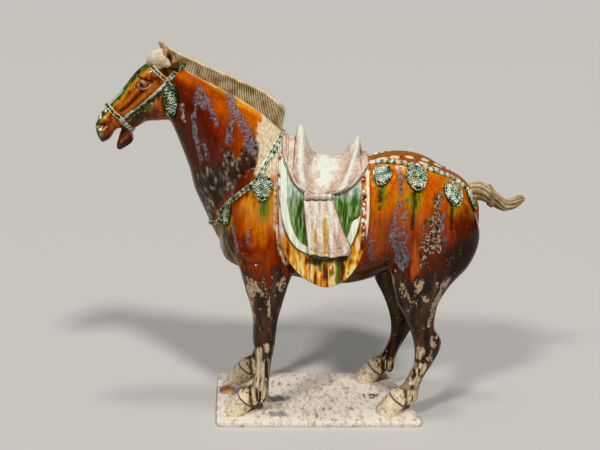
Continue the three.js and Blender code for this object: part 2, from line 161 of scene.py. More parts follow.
TAIL = [
    ((264, 408), (270, 378), 13), ((291, 415), (297, 380), 16), ((302, 411), (308, 374), 16),
    ((322, 396), (325, 365), 14), ((338, 384), (338, 362), 12), ((352, 387), (352, 366), 11),
    ((364, 391), (363, 373), 8), ((370, 387), (370, 380), 3),
]
TAIL_TIE = [
    ((306, 407), (306, 372), 14.5), ((308, 409), (308, 370.5), 16.5), ((313, 406), (312, 368.5), 16.5),
    ((316, 400), (315, 369), 14),
]
EAR = [
    ((-238, 610), (-217, 609), 5, 24), ((-242, 624), (-221, 621), 7, 24), ((-247, 637), (-231, 634), 5.5, 22),
    ((-248, 647), (-241, 646), 1.5, 18),
]
EYE = [
    ((-284, 596), (-284, 592), 3, 30), ((-284, 598), (-280, 583), 7, 30), ((-276, 599), (-271, 582), 8, 31),
    ((-266, 592), (-265, 587), 3, 31),
]
NOSTRIL = [
    ((-356, 520), (-354, 510), 4, 15), ((-352, 523), (-348, 507), 6, 18), ((-345, 520), (-343, 508), 5, 17),
    ((-340, 516), (-340, 511), 2, 15),
]
FORELOCK = [
    ((-278, 621), (-275, 611), 8), ((-268, 634), (-266, 608), 22), ((-254, 641), (-252, 606), 29),
    ((-240, 635), (-238, 606), 31), ((-225, 619), (-227, 606), 26),
]
EAR_LEAN = {NEAR: 3, FAR: -11}
EAR_RISE = {NEAR: 0, FAR: 5}
EAR_SPAN = (612, 647)
FORELOCK_MIDDLE = (-237, 610)
# A lock's width, the depth of its groove, and how dark the painted shade in the groove is.
LOCK_WIDTH, LOCK_GROOVE, LOCK_GROOVE_SHADE = 3.6, 0.9, 0.45
LOCK_FROM = (6, 14)
TAIL_STRANDS, STRAND_TWIST, STRAND_DEEP = 9, 9, 0.14
# Forms of the body: stations, rows and sides of the loft, and how full its sections are.
BODY_FORMS = [
    (TORSO, 90, 72, BARREL), (NECK, 60, 64, NECK_FULL), (HEAD, 60, 64, HEAD_FULL),
    (LOWER_JAW, 30, 40, JAW_FULL),
]
LEG_FORMS = [(FORELEG, FORE_STAGGER, 0), (HINDLEG, HIND_STAGGER, HIND_HOOF_SHIFT)]
# Rows and sides of the smaller lofts.
LEG_GRID, HOOF_GRID, EAR_GRID, FACE_GRID = (110, 48), (60, 48), (30, 32), (24, 32)
LOCK_GRID, TAIL_GRID, TIE_GRID = (90, 120), (90, 72), (24, 48)

CREST = [(-240, 622), (-188, 596), (-121, 560), (-68, 526), (-50, 508)]
MANE_TOP = [(-246, 646), (-200, 624), (-121, 589), (-70, 564), (-44, 540)]
MANE_ROOT_HALF = 12
MANE_TOP_HALF = 9
MANE_SUNK = 14
MANE_HAIRS, COLUMNS_PER_HAIR = 70, 6
# Heights of the mane's rings, and how its cuts grow shallow and its edge round at the top.
MANE_LEVELS = (0, 0.3, 0.45, 0.6, 0.75, 0.88, 0.96, 1)
MANE_ROUNDING = 1.2
HAIR_GROOVE, SHALLOW_FROM, SHALLOW_SHARE = 2.2, 0.95, 0.25

BLANKET_HEM = [
    (-54, 336), (-47, 310), (-28, 279), (-3, 259), (20, 250), (56, 263), (77, 290), (89.5, 330), (94.5, 380),
]
PANEL_HEM = [
    (-51, 440), (-50, 378), (-46, 358), (-39, 339), (-25, 320), (-8, 311), (14, 303), (38, 305), (61, 321),
    (72, 344), (79, 372), (81, 421),
]
SKIRT_HEM = [
    (-48, 478), (-43, 463), (-37, 448), (-29, 431), (-14, 416), (10, 409), (34, 413), (53, 417),
    (66, 424), (74, 431), (81, 438), (88, 448), (99, 462),
]
BLANKET_RISE = 6
PANEL_RISE = 4
PANEL_BORDER = 12
BORDER_END_X, BORDER_END_Z = (62, 74), (360, 380)
SKIRT_RISE = 5
# Ridges along edges: how far in from the edge, how far they reach, and their rise.
BLANKET_BEAD, SKIRT_BEAD, SKIRT_GROOVE = (3, 1.6, 1.2), (2.2, 1.8, 1.6), (6.5, 1.3, -0.8)
FIELD_SUNK = 1.4
EDGE_STEP = 1.2
SHEET_SUNK = -2
SADDLE_TURN = 1.1
SADDLE_COLUMNS, SADDLE_ROWS, BACK_ROWS = 160, 430, 44
CURVE_CUTS, HEM_CUTS, TORSO_CUTS, CREST_CUTS = 200, 300, 400, 80
# Outlines that are open upward close at this height.
SKY = 600
CROWN_FALL = 1.7
SEAT_TOP = [
    (-54, 502), (-40, 497), (-30, 493), (-18, 487), (-8, 479.5), (3, 467.5), (10, 463), (20, 461),
    (31, 460.5), (50, 461), (64, 464), (78, 468), (86, 470), (98, 468),
]
# How high the rims stand over the seat along the ridge, and where their rolls run down the flank: (turn, x).
POMMEL = [
    (-27.2, 0), (-26.4, 4), (-25.6, 11), (-24.2, 19), (-21.5, 24), (-17.7, 27), (-14, 27), (-11.7, 23),
    (-10, 17), (-7.3, 9.5), (-4, 3), (2, 0),
]
CANTLE = [
    (54, 0), (58, 3), (63.7, 10), (70, 19), (76.5, 24.5), (79.7, 25.5), (82.3, 23), (83.8, 16), (85, 7),
    (86.5, 2), (89, 0),
]
RIM_TOP = 26
POMMEL_LINE = [(0, -15), (0.53, -16.5), (0.84, -18), (1.1, -12), (1.26, 3)]
CANTLE_LINE = [(0, 82), (0.35, 76.5), (0.63, 64.5), (0.92, 49), (1.1, 36), (1.26, 28)]
ROLL_HALF, ROLL_RISE, ROLL_DISH = 7, 9, 4.5
ROLL_FULL = 2.6
# The creases beside a roll, in shares of its half width: how far aside, how far they reach, and how deep.
SEAT_CREASE, OUTER_CREASE = (2, 1.1, 1), (-1.6, 0.45, 0.5)
# Turns round the barrel between which the rolls rise and end, and the rims fade.
ROLL_FROM, ROLL_TO, RIM_FADE = (0.15, 0.5), (0.98, 1.22), (0.08, 0.85)
FRONT_BOW, BOW_HEIGHT, BOW_REACH = 5, 440, 45
KNOT = {"left": -15, "right": 34, "low": 405, "high": 420, "rise": 21}
CLOTH = [
    (-14, 407), (-12, 380), (-8, 337), (-5, 313), (30, 308), (60, 311), (65, 319), (52, 349), (40, 385),
    (32, 407),
]
CLOTH_RISE = 4
CLOTH_FLARE = 8
CLOTH_FOLDS = 3.5
FOLD_DEEP = 3

BREAST_STRAP = [(-50, 500), (-58, 486), (-69, 467), (-80, 448), (-86, 436)]
CHEST_STRAP = [(-88, 432), (-104, 419), (-124, 403), (-140, 388), (-151, 374)]
CHEST_CROSSING = [(44, 358), (26, 348), (0, 342)]
HIP_STRAP = [
    (97, 452), (115, 455), (142, 456), (164, 453), (190, 447), (214, 438), (236, 428), (254, 416), (266, 403),
]
CHEEK_STRAP = [(-311, 528), (-303, 535), (-286, 546), (-270, 559), (-255, 572), (-241, 586)]
POLL_STRAP = [(-243, 584), (-232, 596), (-223, 607), (-213, 617)]
NOSEBAND = [(-340, 546), (-331, 537), (-318, 526)]
BROWBAND = [(-263, 612), (-252, 602), (-241, 592)]
CHIN_STRAP = [(-319, 524), (-313, 518), (-308, 512), (-305, 504)]
# How pale a strap's upper edge, middle and lower edge are worn.
BEADED = (0.95, 1.0, 0.9)
DARK_BEADED = (0.85, 0.45, 0.8)
LINED = (1.2, 0.55, 0.05)
TWIN = (1.4, 0.2, 1.3)
PALE = (1.3, 1.2, 1.3)
# Across a strap: how far its beads reach, where its raised edges start, and the tone between them.
BEAD_HALF, EDGE_FROM, GROOVE_TONE = 0.4, 0.6, 0.2
BEAD_RISE = 0.5
STRAP_STEP = 0.9
STRAP_HALF, STRAP_RISE = 4.4, 3.5
HIP_HALF = 4.2
BRIDLE_HALF, BRIDLE_RISE = 3.7, 2.8
CHEEK_HALF = 2.8
# Straps on each flank: line, half width, rise, spacing of the beads, and wear.
STRAPS = [
    (BREAST_STRAP, STRAP_HALF, STRAP_RISE, 11, BEADED), (CHEST_STRAP, STRAP_HALF, STRAP_RISE, 9, DARK_BEADED),
    (HIP_STRAP, HIP_HALF, STRAP_RISE, 11, BEADED), (CHEEK_STRAP, CHEEK_HALF, BRIDLE_RISE, None, LINED),
    (POLL_STRAP, BRIDLE_HALF, BRIDLE_RISE, 6, DARK_BEADED), (BROWBAND, BRIDLE_HALF, BRIDLE_RISE, 6, TWIN),
    (CHIN_STRAP, BRIDLE_HALF, BRIDLE_RISE, 6, PALE), (NOSEBAND, BRIDLE_HALF, BRIDLE_RISE, 6, TWIN),
]
CHEST_BOSS = (-141, 374)
# Leaf-shaped bosses: middle, half width and height, seed of the curls, and how pale they are worn.
ROSETTES = [
    ((-81, 420), (17, 20), 0, 1), (CHEST_BOSS, (8, 20), 1, 1), ((117, 438), (16.5, 19), 2, 1),
    ((173, 435), (18, 22.5), 3, 1), ((235, 407), (17.5, 21.5), 4, 1), ((268, 394), (7, 17), 5, 1),
    ((-233, 560), (13, 28), 9, 0.8), ((-316, 525), (5, 6), 9, 1.3),
]
ROSETTE_RISE, ROSETTE_SUNK = 6, -4
ROSETTE_SIDES, ROSETTE_RINGS = 108, 27
CURL_FIELD, RIM_FIELD = 0.87, (0.88, 0.98)
CURLS = 70
CURL_TURN = 2.39996
CURL_RISE = 2.4

# Modelling of the head and legs after the forms are fused: a line, how far it reaches, and its rise or cut.
FACE_LINES = [
    ([(-319, 540), (-308, 546), (-297, 557), (-286, 568), (-281, 573)], 2.5, -3.6),
    ([(-317, 552), (-307, 562), (-295, 576)], 1.8, -1.6),
    ([(-304, 536), (-284, 552), (-265, 569)], 2.2, -1.4),
    ([(-320, 545), (-305, 559), (-288, 576)], 3.0, 2.0),
    ([(-313, 535), (-299, 547), (-286, 557), (-271, 572), (-259, 584)], 3.2, 2.2),
    ([(-287, 597), (-278, 595), (-270, 592), (-262, 589)], 1.5, -2.6),
    ([(-287, 591), (-281, 592), (-274, 590), (-268, 586)], 1.4, 1.2),
    ([(-286, 584), (-283, 579), (-278, 577), (-270, 579), (-264, 585), (-256, 589)], 1.5, 2.0),
    ([(-292, 581), (-284, 573), (-273, 572)], 1.8, -1.5),
    ([(-338, 523), (-346, 526), (-355, 522), (-358, 512)], 2.6, 2.2),
    ([(-357, 507), (-350, 507), (-343, 514)], 2.0, 2.6),
    ([(-240, 535), (-247, 552), (-243, 572), (-236, 586)], 3.0, -1.8),
    ([(-326, 497), (-318, 489), (-309, 488)], 2.2, -1.6),
]
FACE_SPOTS = [
    ((-278, 585), (7, 6), 3.0),
    ((-270, 602), (9.5, 5), 4.4),
    ((-350, 517), (6.5, 4.6), -7.0),
    ((-262, 550), (16, 14), 2.5),
    ((-235, 628), (5.5, 10), -4.5),
]
LEG_LINES = [
    ([(-122, 299), (-107, 291), (-86, 293)], 2.4, -2.4),
    ([(-118, 310), (-104, 302), (-86, 304)], 6.0, 1.4),
    ([(-91, 138), (-88, 105), (-92, 66), (-97, 44)], 2.2, -1.5),
    ([(-80, 130), (-79, 104), (-83, 62), (-87, 40)], 2.0, -1.6),
    ([(-100, 180), (-84, 174), (-66, 182)], 3.5, -1.0),
    ([(-98, 152), (-82, 148), (-68, 154)], 3.0, -1.0),
    ([(-119, 262), (-92, 240), (-74, 212)], 5.0, -1.4),
    ([(199, 128), (194, 104), (183, 76), (172, 46)], 2.2, -1.5),
    ([(211, 122), (203, 100), (192, 72), (182, 42)], 2.0, -1.6),
    ([(205, 196), (203, 172), (213, 152)], 3.0, -1.6),
    ([(150, 300), (176, 268), (196, 240)], 6.0, -1.6),
    ([(180, 152), (196, 146), (214, 150)], 3.0, -0.9),
]
# The line round each hoof below its crown of hair.
CORONETS = [[(-133, 49), (-101, 23)], [(135, 49), (167, 23)]]
CORONET_REACH, CORONET_CUT = 1.6, -2.2
# The slab's rings from the middle of its underside to the edge of its top: share of the outline, and height.
SLAB_PROFILE = [
    (0.02, 0), (0.5, 0), (0.985, 0), (1, 2), (1, SLAB_THICK - SLAB_EDGE), (0.992, SLAB_THICK - 0.6),
]
SLAB_RINGS, SLAB_SIDES, CORNER_CUTS = 60, 420, 8
SLAB_DIP, SLAB_CHIP = 1.2, 0.006
# Numbers that scatter the values of the random lattice.
LATTICE_STEPS = np.array([73856093, 19349663, 83492791])
SEED_STEP, LATTICE_MIX = 40503, 1274126177


def bulge(value, fullness):
    return np.sign(value) * np.abs(value) ** (2 / fullness)


def smooth_step(value, low, high):
    """Rises from 0 at low to 1 at high; falls where low is the greater."""
    share = np.clip((value - low) / (high - low), 0, 1)
    return share * share * (3 - 2 * share)


def bell(distance, reach):
    return np.exp(-(distance / reach) ** 2)


def ridge(distance, place, reach, rise):
    """A rounded ridge, or a groove below zero, at one distance from an edge."""
    return rise * bell(distance - place, reach)


def unit(vectors):
    return vectors / np.linalg.norm(vectors, axis=-1, keepdims=True)


def curve_through(points, count):
    """A smooth curve through rows of numbers, cut into evenly spaced places."""
    points = np.asarray(points, float)
    gaps = np.linalg.norm(np.diff(points, axis=0), axis=1)
    knots = np.concatenate([[0], np.cumsum(gaps)])
    slopes = np.gradient(points, knots, axis=0)
    places = np.linspace(0, knots[-1], count)
    span = np.clip(np.searchsorted(knots, places, "right") - 1, 0, len(gaps) - 1)
    width = gaps[span][:, None]
    share = ((places - knots[span]) / gaps[span])[:, None]
    start = (1 + 2 * share) * (1 - share) ** 2 * points[span]
    end = share ** 2 * (3 - 2 * share) * points[span + 1]
    leave = share * (1 - share) ** 2 * width * slopes[span]
    arrive = share ** 2 * (share - 1) * width * slopes[span + 1]
    return start + end + leave + arrive


def loft(stations, rows, sides, fullness=BARREL, side=NEAR, shift=None, ripple=None):
    """Rings through the stations of one form; ripple(along, angle) scales a ring to carve strands in it."""
    flat = [(*high, *low, half, *(out or [0])) for high, low, half, *out in stations]
    front_x, front_z, back_x, back_z, half, out = curve_through(flat, rows).T[..., None]
    angle = np.linspace(0, 2 * np.pi, sides, endpoint=False)
    along = np.linspace(0, 1, rows)[:, None]
    scale = ripple(along, angle) if ripple else 1
    lift = scale * bulge(np.cos(angle), fullness)
    spread = scale * bulge(np.sin(angle), fullness)
    x = (front_x + back_x) / 2 + (front_x - back_x) / 2 * lift
    z = (front_z + back_z) / 2 + (front_z - back_z) / 2 * lift
    y = side * out + half * spread
    if shift:
        x = x + shift(z)
    return np.stack([x, y, z], -1)


def skin(rings, tones=None):
    """Points and faces of a closed tube over rings, with a fan at either end, and a tone for each point."""
    rows, sides, _ = rings.shape
    tones = np.zeros((rows, sides)) if tones is None else tones
    points = np.concatenate([rings.reshape(-1, 3), rings[0].mean(0)[None], rings[-1].mean(0)[None]])
    shades = np.concatenate([tones.ravel(), [tones[0].mean(), tones[-1].mean()]])
    start, end = len(points) - 2, len(points) - 1
    row, turn = np.meshgrid(np.arange(rows - 1) * sides, np.arange(sides), indexing="ij")
    after = (turn + 1) % sides
    quads = np.stack([row + turn, row + after, row + sides + after, row + sides + turn], -1)
    last = (rows - 1) * sides
    edge = np.arange(sides)
    following = (edge + 1) % sides
    caps = [(start, b, a) for a, b in zip(edge, following)]
    caps += [(end, last + a, last + b) for a, b in zip(edge, following)]
    return points, quads.reshape(-1, 4).tolist() + caps, shades


def linked(name, data):
    made = bpy.data.objects.new(name, data)
    bpy.context.collection.objects.link(made)
    return made


def mesh_object(name, solids):
    """One object from several closed solids, each turned so that its faces look outward."""
    points, faces, tones = [], [], []
    count = 0
    for solid_points, solid_faces, solid_tones in solids:
        first = np.array([face[:3] for face in solid_faces])
        a, b, c = (solid_points[first[:, corner]] for corner in range(3))
        inward = np.einsum("ij,ij->i", a, np.cross(b, c)).sum() < 0
        faces += [[count + corner for corner in (face[::-1] if inward else face)] for face in solid_faces]
        points.append(solid_points)
        tones.append(solid_tones)
        count += len(solid_points)
    mesh = bpy.data.meshes.new(name)
    mesh.from_pydata((np.concatenate(points) * MM).tolist(), [], faces)
    shade = mesh.attributes.new("tone", "FLOAT", "POINT")
    shade.data.foreach_set("value", np.concatenate(tones).astype(np.float32))
    mesh.shade_smooth()
    return linked(name, mesh)


def baked(thing):
    """Puts the result of an object's modifiers in its mesh."""
    shown = thing.evaluated_get(bpy.context.evaluated_depsgraph_get())
    mesh = bpy.data.meshes.new_from_object(shown)
    thing.modifiers.clear()
    thing.data = mesh
    mesh.name = thing.name


def fused(name, solids, voxel):
    made = mesh_object(name, solids)
    remesh = made.modifiers.new("fuse", "REMESH")
    remesh.mode = "VOXEL"
    remesh.voxel_size = voxel * MM
    baked(made)
    return made


def thinned(thing, triangles):
    have = sum(len(face.vertices) - 2 for face in thing.data.polygons)
    if have > triangles:
        collapse = thing.modifiers.new("thin", "DECIMATE")
        collapse.ratio = triangles / have
        baked(thing)


def values_of(elements, name, width, kind=np.float32):
    """One named value of all elements of a mesh, in rows of the given width."""
    flat = np.empty(width * len(elements), kind)
    elements.foreach_get(name, flat)
    return flat.reshape(-1, width)


def points_of(mesh):
    return values_of(mesh.vertices, "co", 3).astype(float) / MM


def normals_of(mesh):
    return values_of(mesh.vertex_normals, "vector", 3).astype(float)


def tones_of(mesh):
    return values_of(mesh.attributes["tone"].data, "value", 1)[:, 0].astype(float)


def place_points(mesh, points):
    mesh.vertices.foreach_set("co", (points * MM).astype(np.float32).ravel())
    mesh.update()


def edges_of(mesh):
    return values_of(mesh.edges, "vertices", 2, np.int32)


def pull_to_neighbours(points, edges):
    """For each point, the way to the mean of its neighbours."""
    count = len(points)
    near, far = edges.T
    number = np.bincount(edges.ravel(), minlength=count)[:, None]
    total = np.stack([
        np.bincount(near, points[far, axis], count) + np.bincount(far, points[near, axis], count)
        for axis in range(3)
    ], 1)
    return total / number - points


def faired(mesh):
    """Takes out the steps of the fused mesh without shrinking it."""
    points, edges = points_of(mesh), edges_of(mesh)
    for _ in range(FAIRING_ROUNDS):
        points = points + FAIR_IN * pull_to_neighbours(points, edges)
        points = points - FAIR_OUT * pull_to_neighbours(points, edges)
    place_points(mesh, points)


def filleted(mesh, rounds, weight):
    """Fills the hollows where forms meet, as a modeller smooths wet clay into a joint."""
    edges = edges_of(mesh)
    for _ in range(rounds):
        points, normals = points_of(mesh), normals_of(mesh)
        pull = pull_to_neighbours(points, edges)
        hollow = np.einsum("ij,ij->i", pull, normals) > 0
        place_points(mesh, points + FILL_SHARE * pull * (hollow * weight(points))[:, None])


def lattice_value(cells, seed):
    mixed = cells @ LATTICE_STEPS + SEED_STEP * seed
    mixed = (mixed ^ (mixed >> 13)) * LATTICE_MIX
    return ((mixed ^ (mixed >> 16)) & 0xFFFF) / 0xFFFF


def noise(points, cell, seed):
    """Smooth random values between 0 and 1, with cells of one size or of a size for each axis."""
    place = points / np.asarray(cell, float)
    base = np.floor(place).astype(np.int64)
    share = smooth_step(place - base, 0, 1)
    total = np.zeros(len(points))
    for corner in range(8):
        step = np.array([(corner >> axis) & 1 for axis in range(3)])
        weight = np.prod(np.where(step, share, 1 - share), axis=1)
        total += weight * lattice_value(base + step, seed)
    return total


def line_distance(flat, points):
    """How far flat (x, z) places lie from a line through points."""
    nearest = np.full(len(flat), 1e9)
    for start, end in zip(np.array(points[:-1], float), np.array(points[1:], float)):
        way = end - start
        share = np.clip((flat - start) @ way / (way @ way), 0, 1)
        nearest = np.minimum(nearest, np.linalg.norm(flat - start - share[:, None] * way, axis=1))
    return nearest


def inside_distance(flat, outline):
    """How far flat places lie inside a closed outline; below zero outside it."""
    closed = list(outline) + [outline[0]]
    odd = np.zeros(len(flat), bool)
    x, z = flat.T
    for (ax, az), (bx, bz) in zip(closed[:-1], closed[1:]):
        if az == bz:
            continue
        odd ^= ((az > z) != (bz > z)) & (x < ax + (z - az) * (bx - ax) / (bz - az))
    return np.where(odd, 1, -1) * line_distance(flat, closed)


def stagger(amount, side):
    """How far a far leg stands from under the near one, from nothing at the body to all of it lower down."""
    if side == NEAR:
        return None
    return lambda z: amount * smooth_step(z, STAGGER_FROM, STAGGER_FULL)


def ear(side):
    """The ears lean apart, and the far one stands a little higher."""
    rings = loft(EAR, *EAR_GRID, side=side)
    share = smooth_step(rings[..., 2], *EAR_SPAN)
    rings[..., 0] += EAR_LEAN[side] * share
    rings[..., 2] += EAR_RISE[side] * share
    return rings


def strands(number, twist, deep):
    def ripple(along, angle):
        return 1 - deep * np.abs(np.cos(number * angle / 2 + twist * along)) ** 6
    return ripple


def body_solids():
    rings = [loft(*form) for form in BODY_FORMS]
    for side in (NEAR, FAR):
        for stations, amount, hoof_shift in LEG_FORMS:
            moved = hoof_shift + (amount if side == FAR else 0)
            rings.append(loft(stations, *LEG_GRID, side=side, shift=stagger(amount, side)))
            rings.append(loft(HOOF, *HOOF_GRID, JAW_FULL, side, lambda z: moved))
        rings.append(ear(side))
        rings += [loft(form, *FACE_GRID, side=side) for form in (EYE, NOSTRIL)]
    return [skin(ring) for ring in rings]


def joint_weight(points):
    """Full where limbs and neck join the torso, none on the head, hooves and ears."""
    x, _, z = points.T
    return smooth_step(x, *HEAD_END) * smooth_step(z, *HOOF_END)


def jaw_weight(points):
    x, _, z = points.T
    return smooth_step(x, *JAW_FROM) * smooth_step(z, *JAW_UNDER)


def split_finer(thing, chosen):
    """Halves the edges between the chosen points, for finer modelling there."""
    soft = bmesh.new()
    soft.from_mesh(thing.data)
    picked = set(np.flatnonzero(chosen(points_of(thing.data))))
    edges = [edge for edge in soft.edges if picked.issuperset(vertex.index for vertex in edge.verts)]
    bmesh.ops.subdivide_edges(soft, edges=edges, cuts=1, use_grid_fill=True)
    soft.to_mesh(thing.data)
    soft.free()


def flank_places(points):
    """Places seen from the side, with the far legs moved back by their stagger to lie under the near ones."""
    x, y, z = points.T
    amount = np.where(x < 30, FORE_STAGGER, HIND_STAGGER) * (y > 0)
    return np.stack([x - amount * smooth_step(z, STAGGER_FROM, STAGGER_FULL), z], 1)


def modelled(mesh):
    """Cuts and raises the lines of the face and legs, and leaves the surface as uneven as hand work."""
    points, normals = points_of(mesh), normals_of(mesh)
    flat = flank_places(points)
    move = np.zeros(len(points))
    for line, reach, rise in FACE_LINES + LEG_LINES:
        move += rise * bell(line_distance(flat, line), reach)
    for middle, size, rise in FACE_SPOTS:
        move += rise * bell(np.linalg.norm((flat - middle) / size, axis=1), 1)
    move *= smooth_step(np.abs(normals[:, 1]), 0.15, 0.5)
    for line in CORONETS:
        move += CORONET_CUT * bell(line_distance(flat, line), CORONET_REACH)
    move += HAND_WAVE * (noise(points, 34, 1) + 0.5 * noise(points, 13, 2) - 0.75)
    place_points(mesh, points + normals * move[:, None])


def horse_body():
    made = fused("horse_body", body_solids(), BODY_VOXEL)
    faired(made.data)
    filleted(made.data, FILLET_ROUNDS, joint_weight)
    filleted(made.data, HEAD_FILLET_ROUNDS, lambda points: 1 - joint_weight(points))
    filleted(made.data, JAW_FILLET_ROUNDS, jaw_weight)
    split_finer(made, lambda points: (points[:, 0] < HEAD_FINE) | (points[:, 2] < HOOF_FINE))
    faired(made.data)
    modelled(made.data)
    thinned(made, BODY_TRIANGLES)
    made.data.shade_smooth()
    return made


def tail():
    rings = loft(TAIL, *TAIL_GRID, ripple=strands(TAIL_STRANDS, STRAND_TWIST, STRAND_DEEP))
    return mesh_object("tail", [skin(rings), skin(loft(TAIL_TIE, *TIE_GRID))])


def forelock():
    """Hair combed forward over the poll, in arcs that follow the outline."""
    rings = loft(FORELOCK, *LOCK_GRID)
    away = np.linalg.norm(rings[..., (0, 2)] - FORELOCK_MIDDLE, axis=-1)
    groove = np.abs(np.cos(np.pi * away / LOCK_WIDTH)) ** 3 * smooth_step(away, *LOCK_FROM)
    outward = rings - rings.mean(1, keepdims=True)
    rings = rings - LOCK_GROOVE * groove[..., None] * unit(outward)
    return mesh_object("forelock", [skin(rings, LOCK_GROOVE_SHADE * groove)])


def mane():
    """A clipped mane, cut into fine upright hairs, with a flat top."""
    columns = COLUMNS_PER_HAIR * MANE_HAIRS
    foot, top = curve_through(CREST, columns), curve_through(MANE_TOP, columns)
    buried = foot + unit(foot - top) * MANE_SUNK
    cut = HAIR_GROOVE * np.abs(np.cos(np.linspace(0, MANE_HAIRS * np.pi, columns))) ** 2.5
    near, tones = [], []
    for height in MANE_LEVELS:
        x, z = (buried + (top - buried) * height).T
        half = MANE_ROOT_HALF + (MANE_TOP_HALF - MANE_ROOT_HALF) * height
        depth = cut * (SHALLOW_SHARE if height > SHALLOW_FROM else 1)
        rounding = MANE_ROUNDING if height == 1 else 0
        near.append(np.stack([x, -(half - depth - rounding), z], 1))
        # The tone carries painted shade into the cuts between the hairs.
        tones.append(depth / HAIR_GROOVE)
    far = [ring * (1, -1, 1) for ring in near[::-1]]
    return mesh_object("mane", [skin(np.stack(near + far, 1), np.stack(tones + tones[::-1], 1))])


def torso_at(x):
    """Top, half width and middle height of the torso at places along the horse."""
    flat = [(*high, *low, half) for high, low, half in TORSO]
    along, *measures = curve_through(flat, TORSO_CUTS).T
    top, _, low, half = (np.interp(x, along, measure) for measure in measures)
    return top, half, (top + low) / 2


def draped(x, travel, rise):
    """Points a given height over the torso, travel down from the ridge, and their turn round the barrel.

    Cloth hangs straight below the widest place.
    """
    top, half, middle = torso_at(x)
    high = top - middle
    angle = np.minimum(np.pi / 2, np.abs(travel) / high)
    fall = np.maximum(0, np.abs(travel) - high * np.pi / 2)
    y = np.sign(travel) * (half + rise) * bulge(np.sin(angle), BARREL)
    z = middle + (high + rise) * bulge(np.cos(angle), BARREL) - fall
    return np.stack([x, y, z], -1), angle


def travel_to(x, z):
    """How far down from the ridge a given height lies."""
    top, _, middle = torso_at(x)
    high = top - middle
    lift = np.clip((z - middle) / high, 0, 1)
    angle = np.arccos(lift ** (BARREL / 2))
    return high * angle + np.maximum(0, middle - z)


def sky_outline(hem):
    """Everything inside an outline seen from the side: a hem below and nothing above."""
    return [(hem[0][0], SKY), *map(tuple, curve_through(hem, 6 * len(hem))), (hem[-1][0], SKY)]


def stepped(distance, width=EDGE_STEP):
    return smooth_step(distance, -width, width)


def crown_height(x, angle):
    """How high the dished seat stands over the layers below it."""
    top, _, _ = torso_at(x)
    under = top + BLANKET_RISE + PANEL_RISE + SKIRT_RISE
    seat = np.interp(x, *curve_through(SEAT_TOP, CURVE_CUTS).T) - under
    return seat * np.cos(np.minimum(np.pi / 2, SADDLE_TURN * angle)) ** CROWN_FALL


def aside_from(line, x, angle):
    """How far places lie behind a line that runs down the flank."""
    return x - np.interp(angle, *np.array(line).T)


def rim_height(x, angle):
    """How high the rims of the pommel and cantle stand over the seat."""
    rise = np.zeros(x.shape)
    for rim, line in ((POMMEL, POMMEL_LINE), (CANTLE, CANTLE_LINE)):
        moved = aside_from(line, x, angle) + line[0][1]
        rise += np.interp(moved, *curve_through(rim, CURVE_CUTS).T, left=0, right=0)
    return rise * (1 - smooth_step(angle, *RIM_FADE))


def roll_height(x, angle):
    """The rolled edges that run from the rims down the flanks to the knot, with a crease on either side."""
    rise = np.zeros(x.shape)
    for line, seatward in ((POMMEL_LINE, 1), (CANTLE_LINE, -1)):
        aside = seatward * aside_from(line, x, angle) / ROLL_HALF
        crease = ridge(aside, *SEAT_CREASE) + ridge(aside, *OUTER_CREASE)
        rise += ROLL_RISE * np.exp(-np.abs(aside) ** ROLL_FULL) - ROLL_DISH * crease
    return rise * smooth_step(angle, *ROLL_FROM) * (1 - smooth_step(angle, *ROLL_TO))


def fall_places(flat):
    """How far down and across the cloth's fall places lie, from 0 to 1."""
    x, z = flat.T
    left, right = (
        np.interp(-z, *(np.array(side) * (1, -1)).T[::-1]) for side in (CLOTH[:4], CLOTH[:5:-1])
    )
    down = np.clip((KNOT["low"] - z) / (KNOT["low"] - CLOTH[4][1]), 0, 1)
    return down, (x - left) / (right - left)


def fall_height(flat):
    """The gathered fall of the cloth tied over the skirt."""
    down, across = fall_places(flat)
    fold = FOLD_DEEP * np.cos(2 * np.pi * CLOTH_FOLDS * across) * (0.35 + 0.65 * down)
    return stepped(inside_distance(flat, CLOTH)) * (CLOTH_RISE + CLOTH_FLARE * down + fold)


def knot_height(flat):
    """The rolled band that the fall hangs from, over everything below it."""
    x, z = flat.T
    low, high = KNOT["low"], KNOT["high"]
    roll = 1 - np.abs((z - (low + high) / 2) / ((high - low) / 2)) ** 3
    left, right = KNOT["left"], KNOT["right"]
    ends = smooth_step(x, left - 1, left + 4) * (1 - smooth_step(x, right - 4, right + 1))
    return KNOT["rise"] * np.sqrt(np.clip(roll, 0, 1)) * ends


def panel_border(flat):
    """The panel's border fades out where the panel meets the strip behind it."""
    x, z = flat.T
    return PANEL_BORDER * (1 - smooth_step(x, *BORDER_END_X) * smooth_step(z, *BORDER_END_Z))


def saddle_height(lifted):
    """How high the saddle's layers lie, each cut along its outline at its own height; and the skirt alone."""
    over_blanket = BLANKET_RISE + PANEL_RISE
    over_panel = over_blanket + SKIRT_RISE
    blanket = inside_distance(lifted(BLANKET_RISE), sky_outline(BLANKET_HEM))
    panel = inside_distance(lifted(over_blanket), sky_outline(PANEL_HEM))
    skirt = inside_distance(lifted(over_panel), sky_outline(SKIRT_HEM))
    hem_bead = ridge(blanket, *BLANKET_BEAD)
    border = PANEL_RISE - FIELD_SUNK * stepped(panel - panel_border(lifted(over_blanket)), 0.9)
    bead = ridge(skirt, *SKIRT_BEAD) + ridge(skirt, *SKIRT_GROOVE)
    layers = BLANKET_RISE + hem_bead + stepped(panel) * border + stepped(skirt) * (SKIRT_RISE + bead)
    cloth = fall_height(lifted(over_panel + CLOTH_RISE))
    return np.maximum(layers + cloth, knot_height(lifted(KNOT["rise"]))), stepped(skirt)


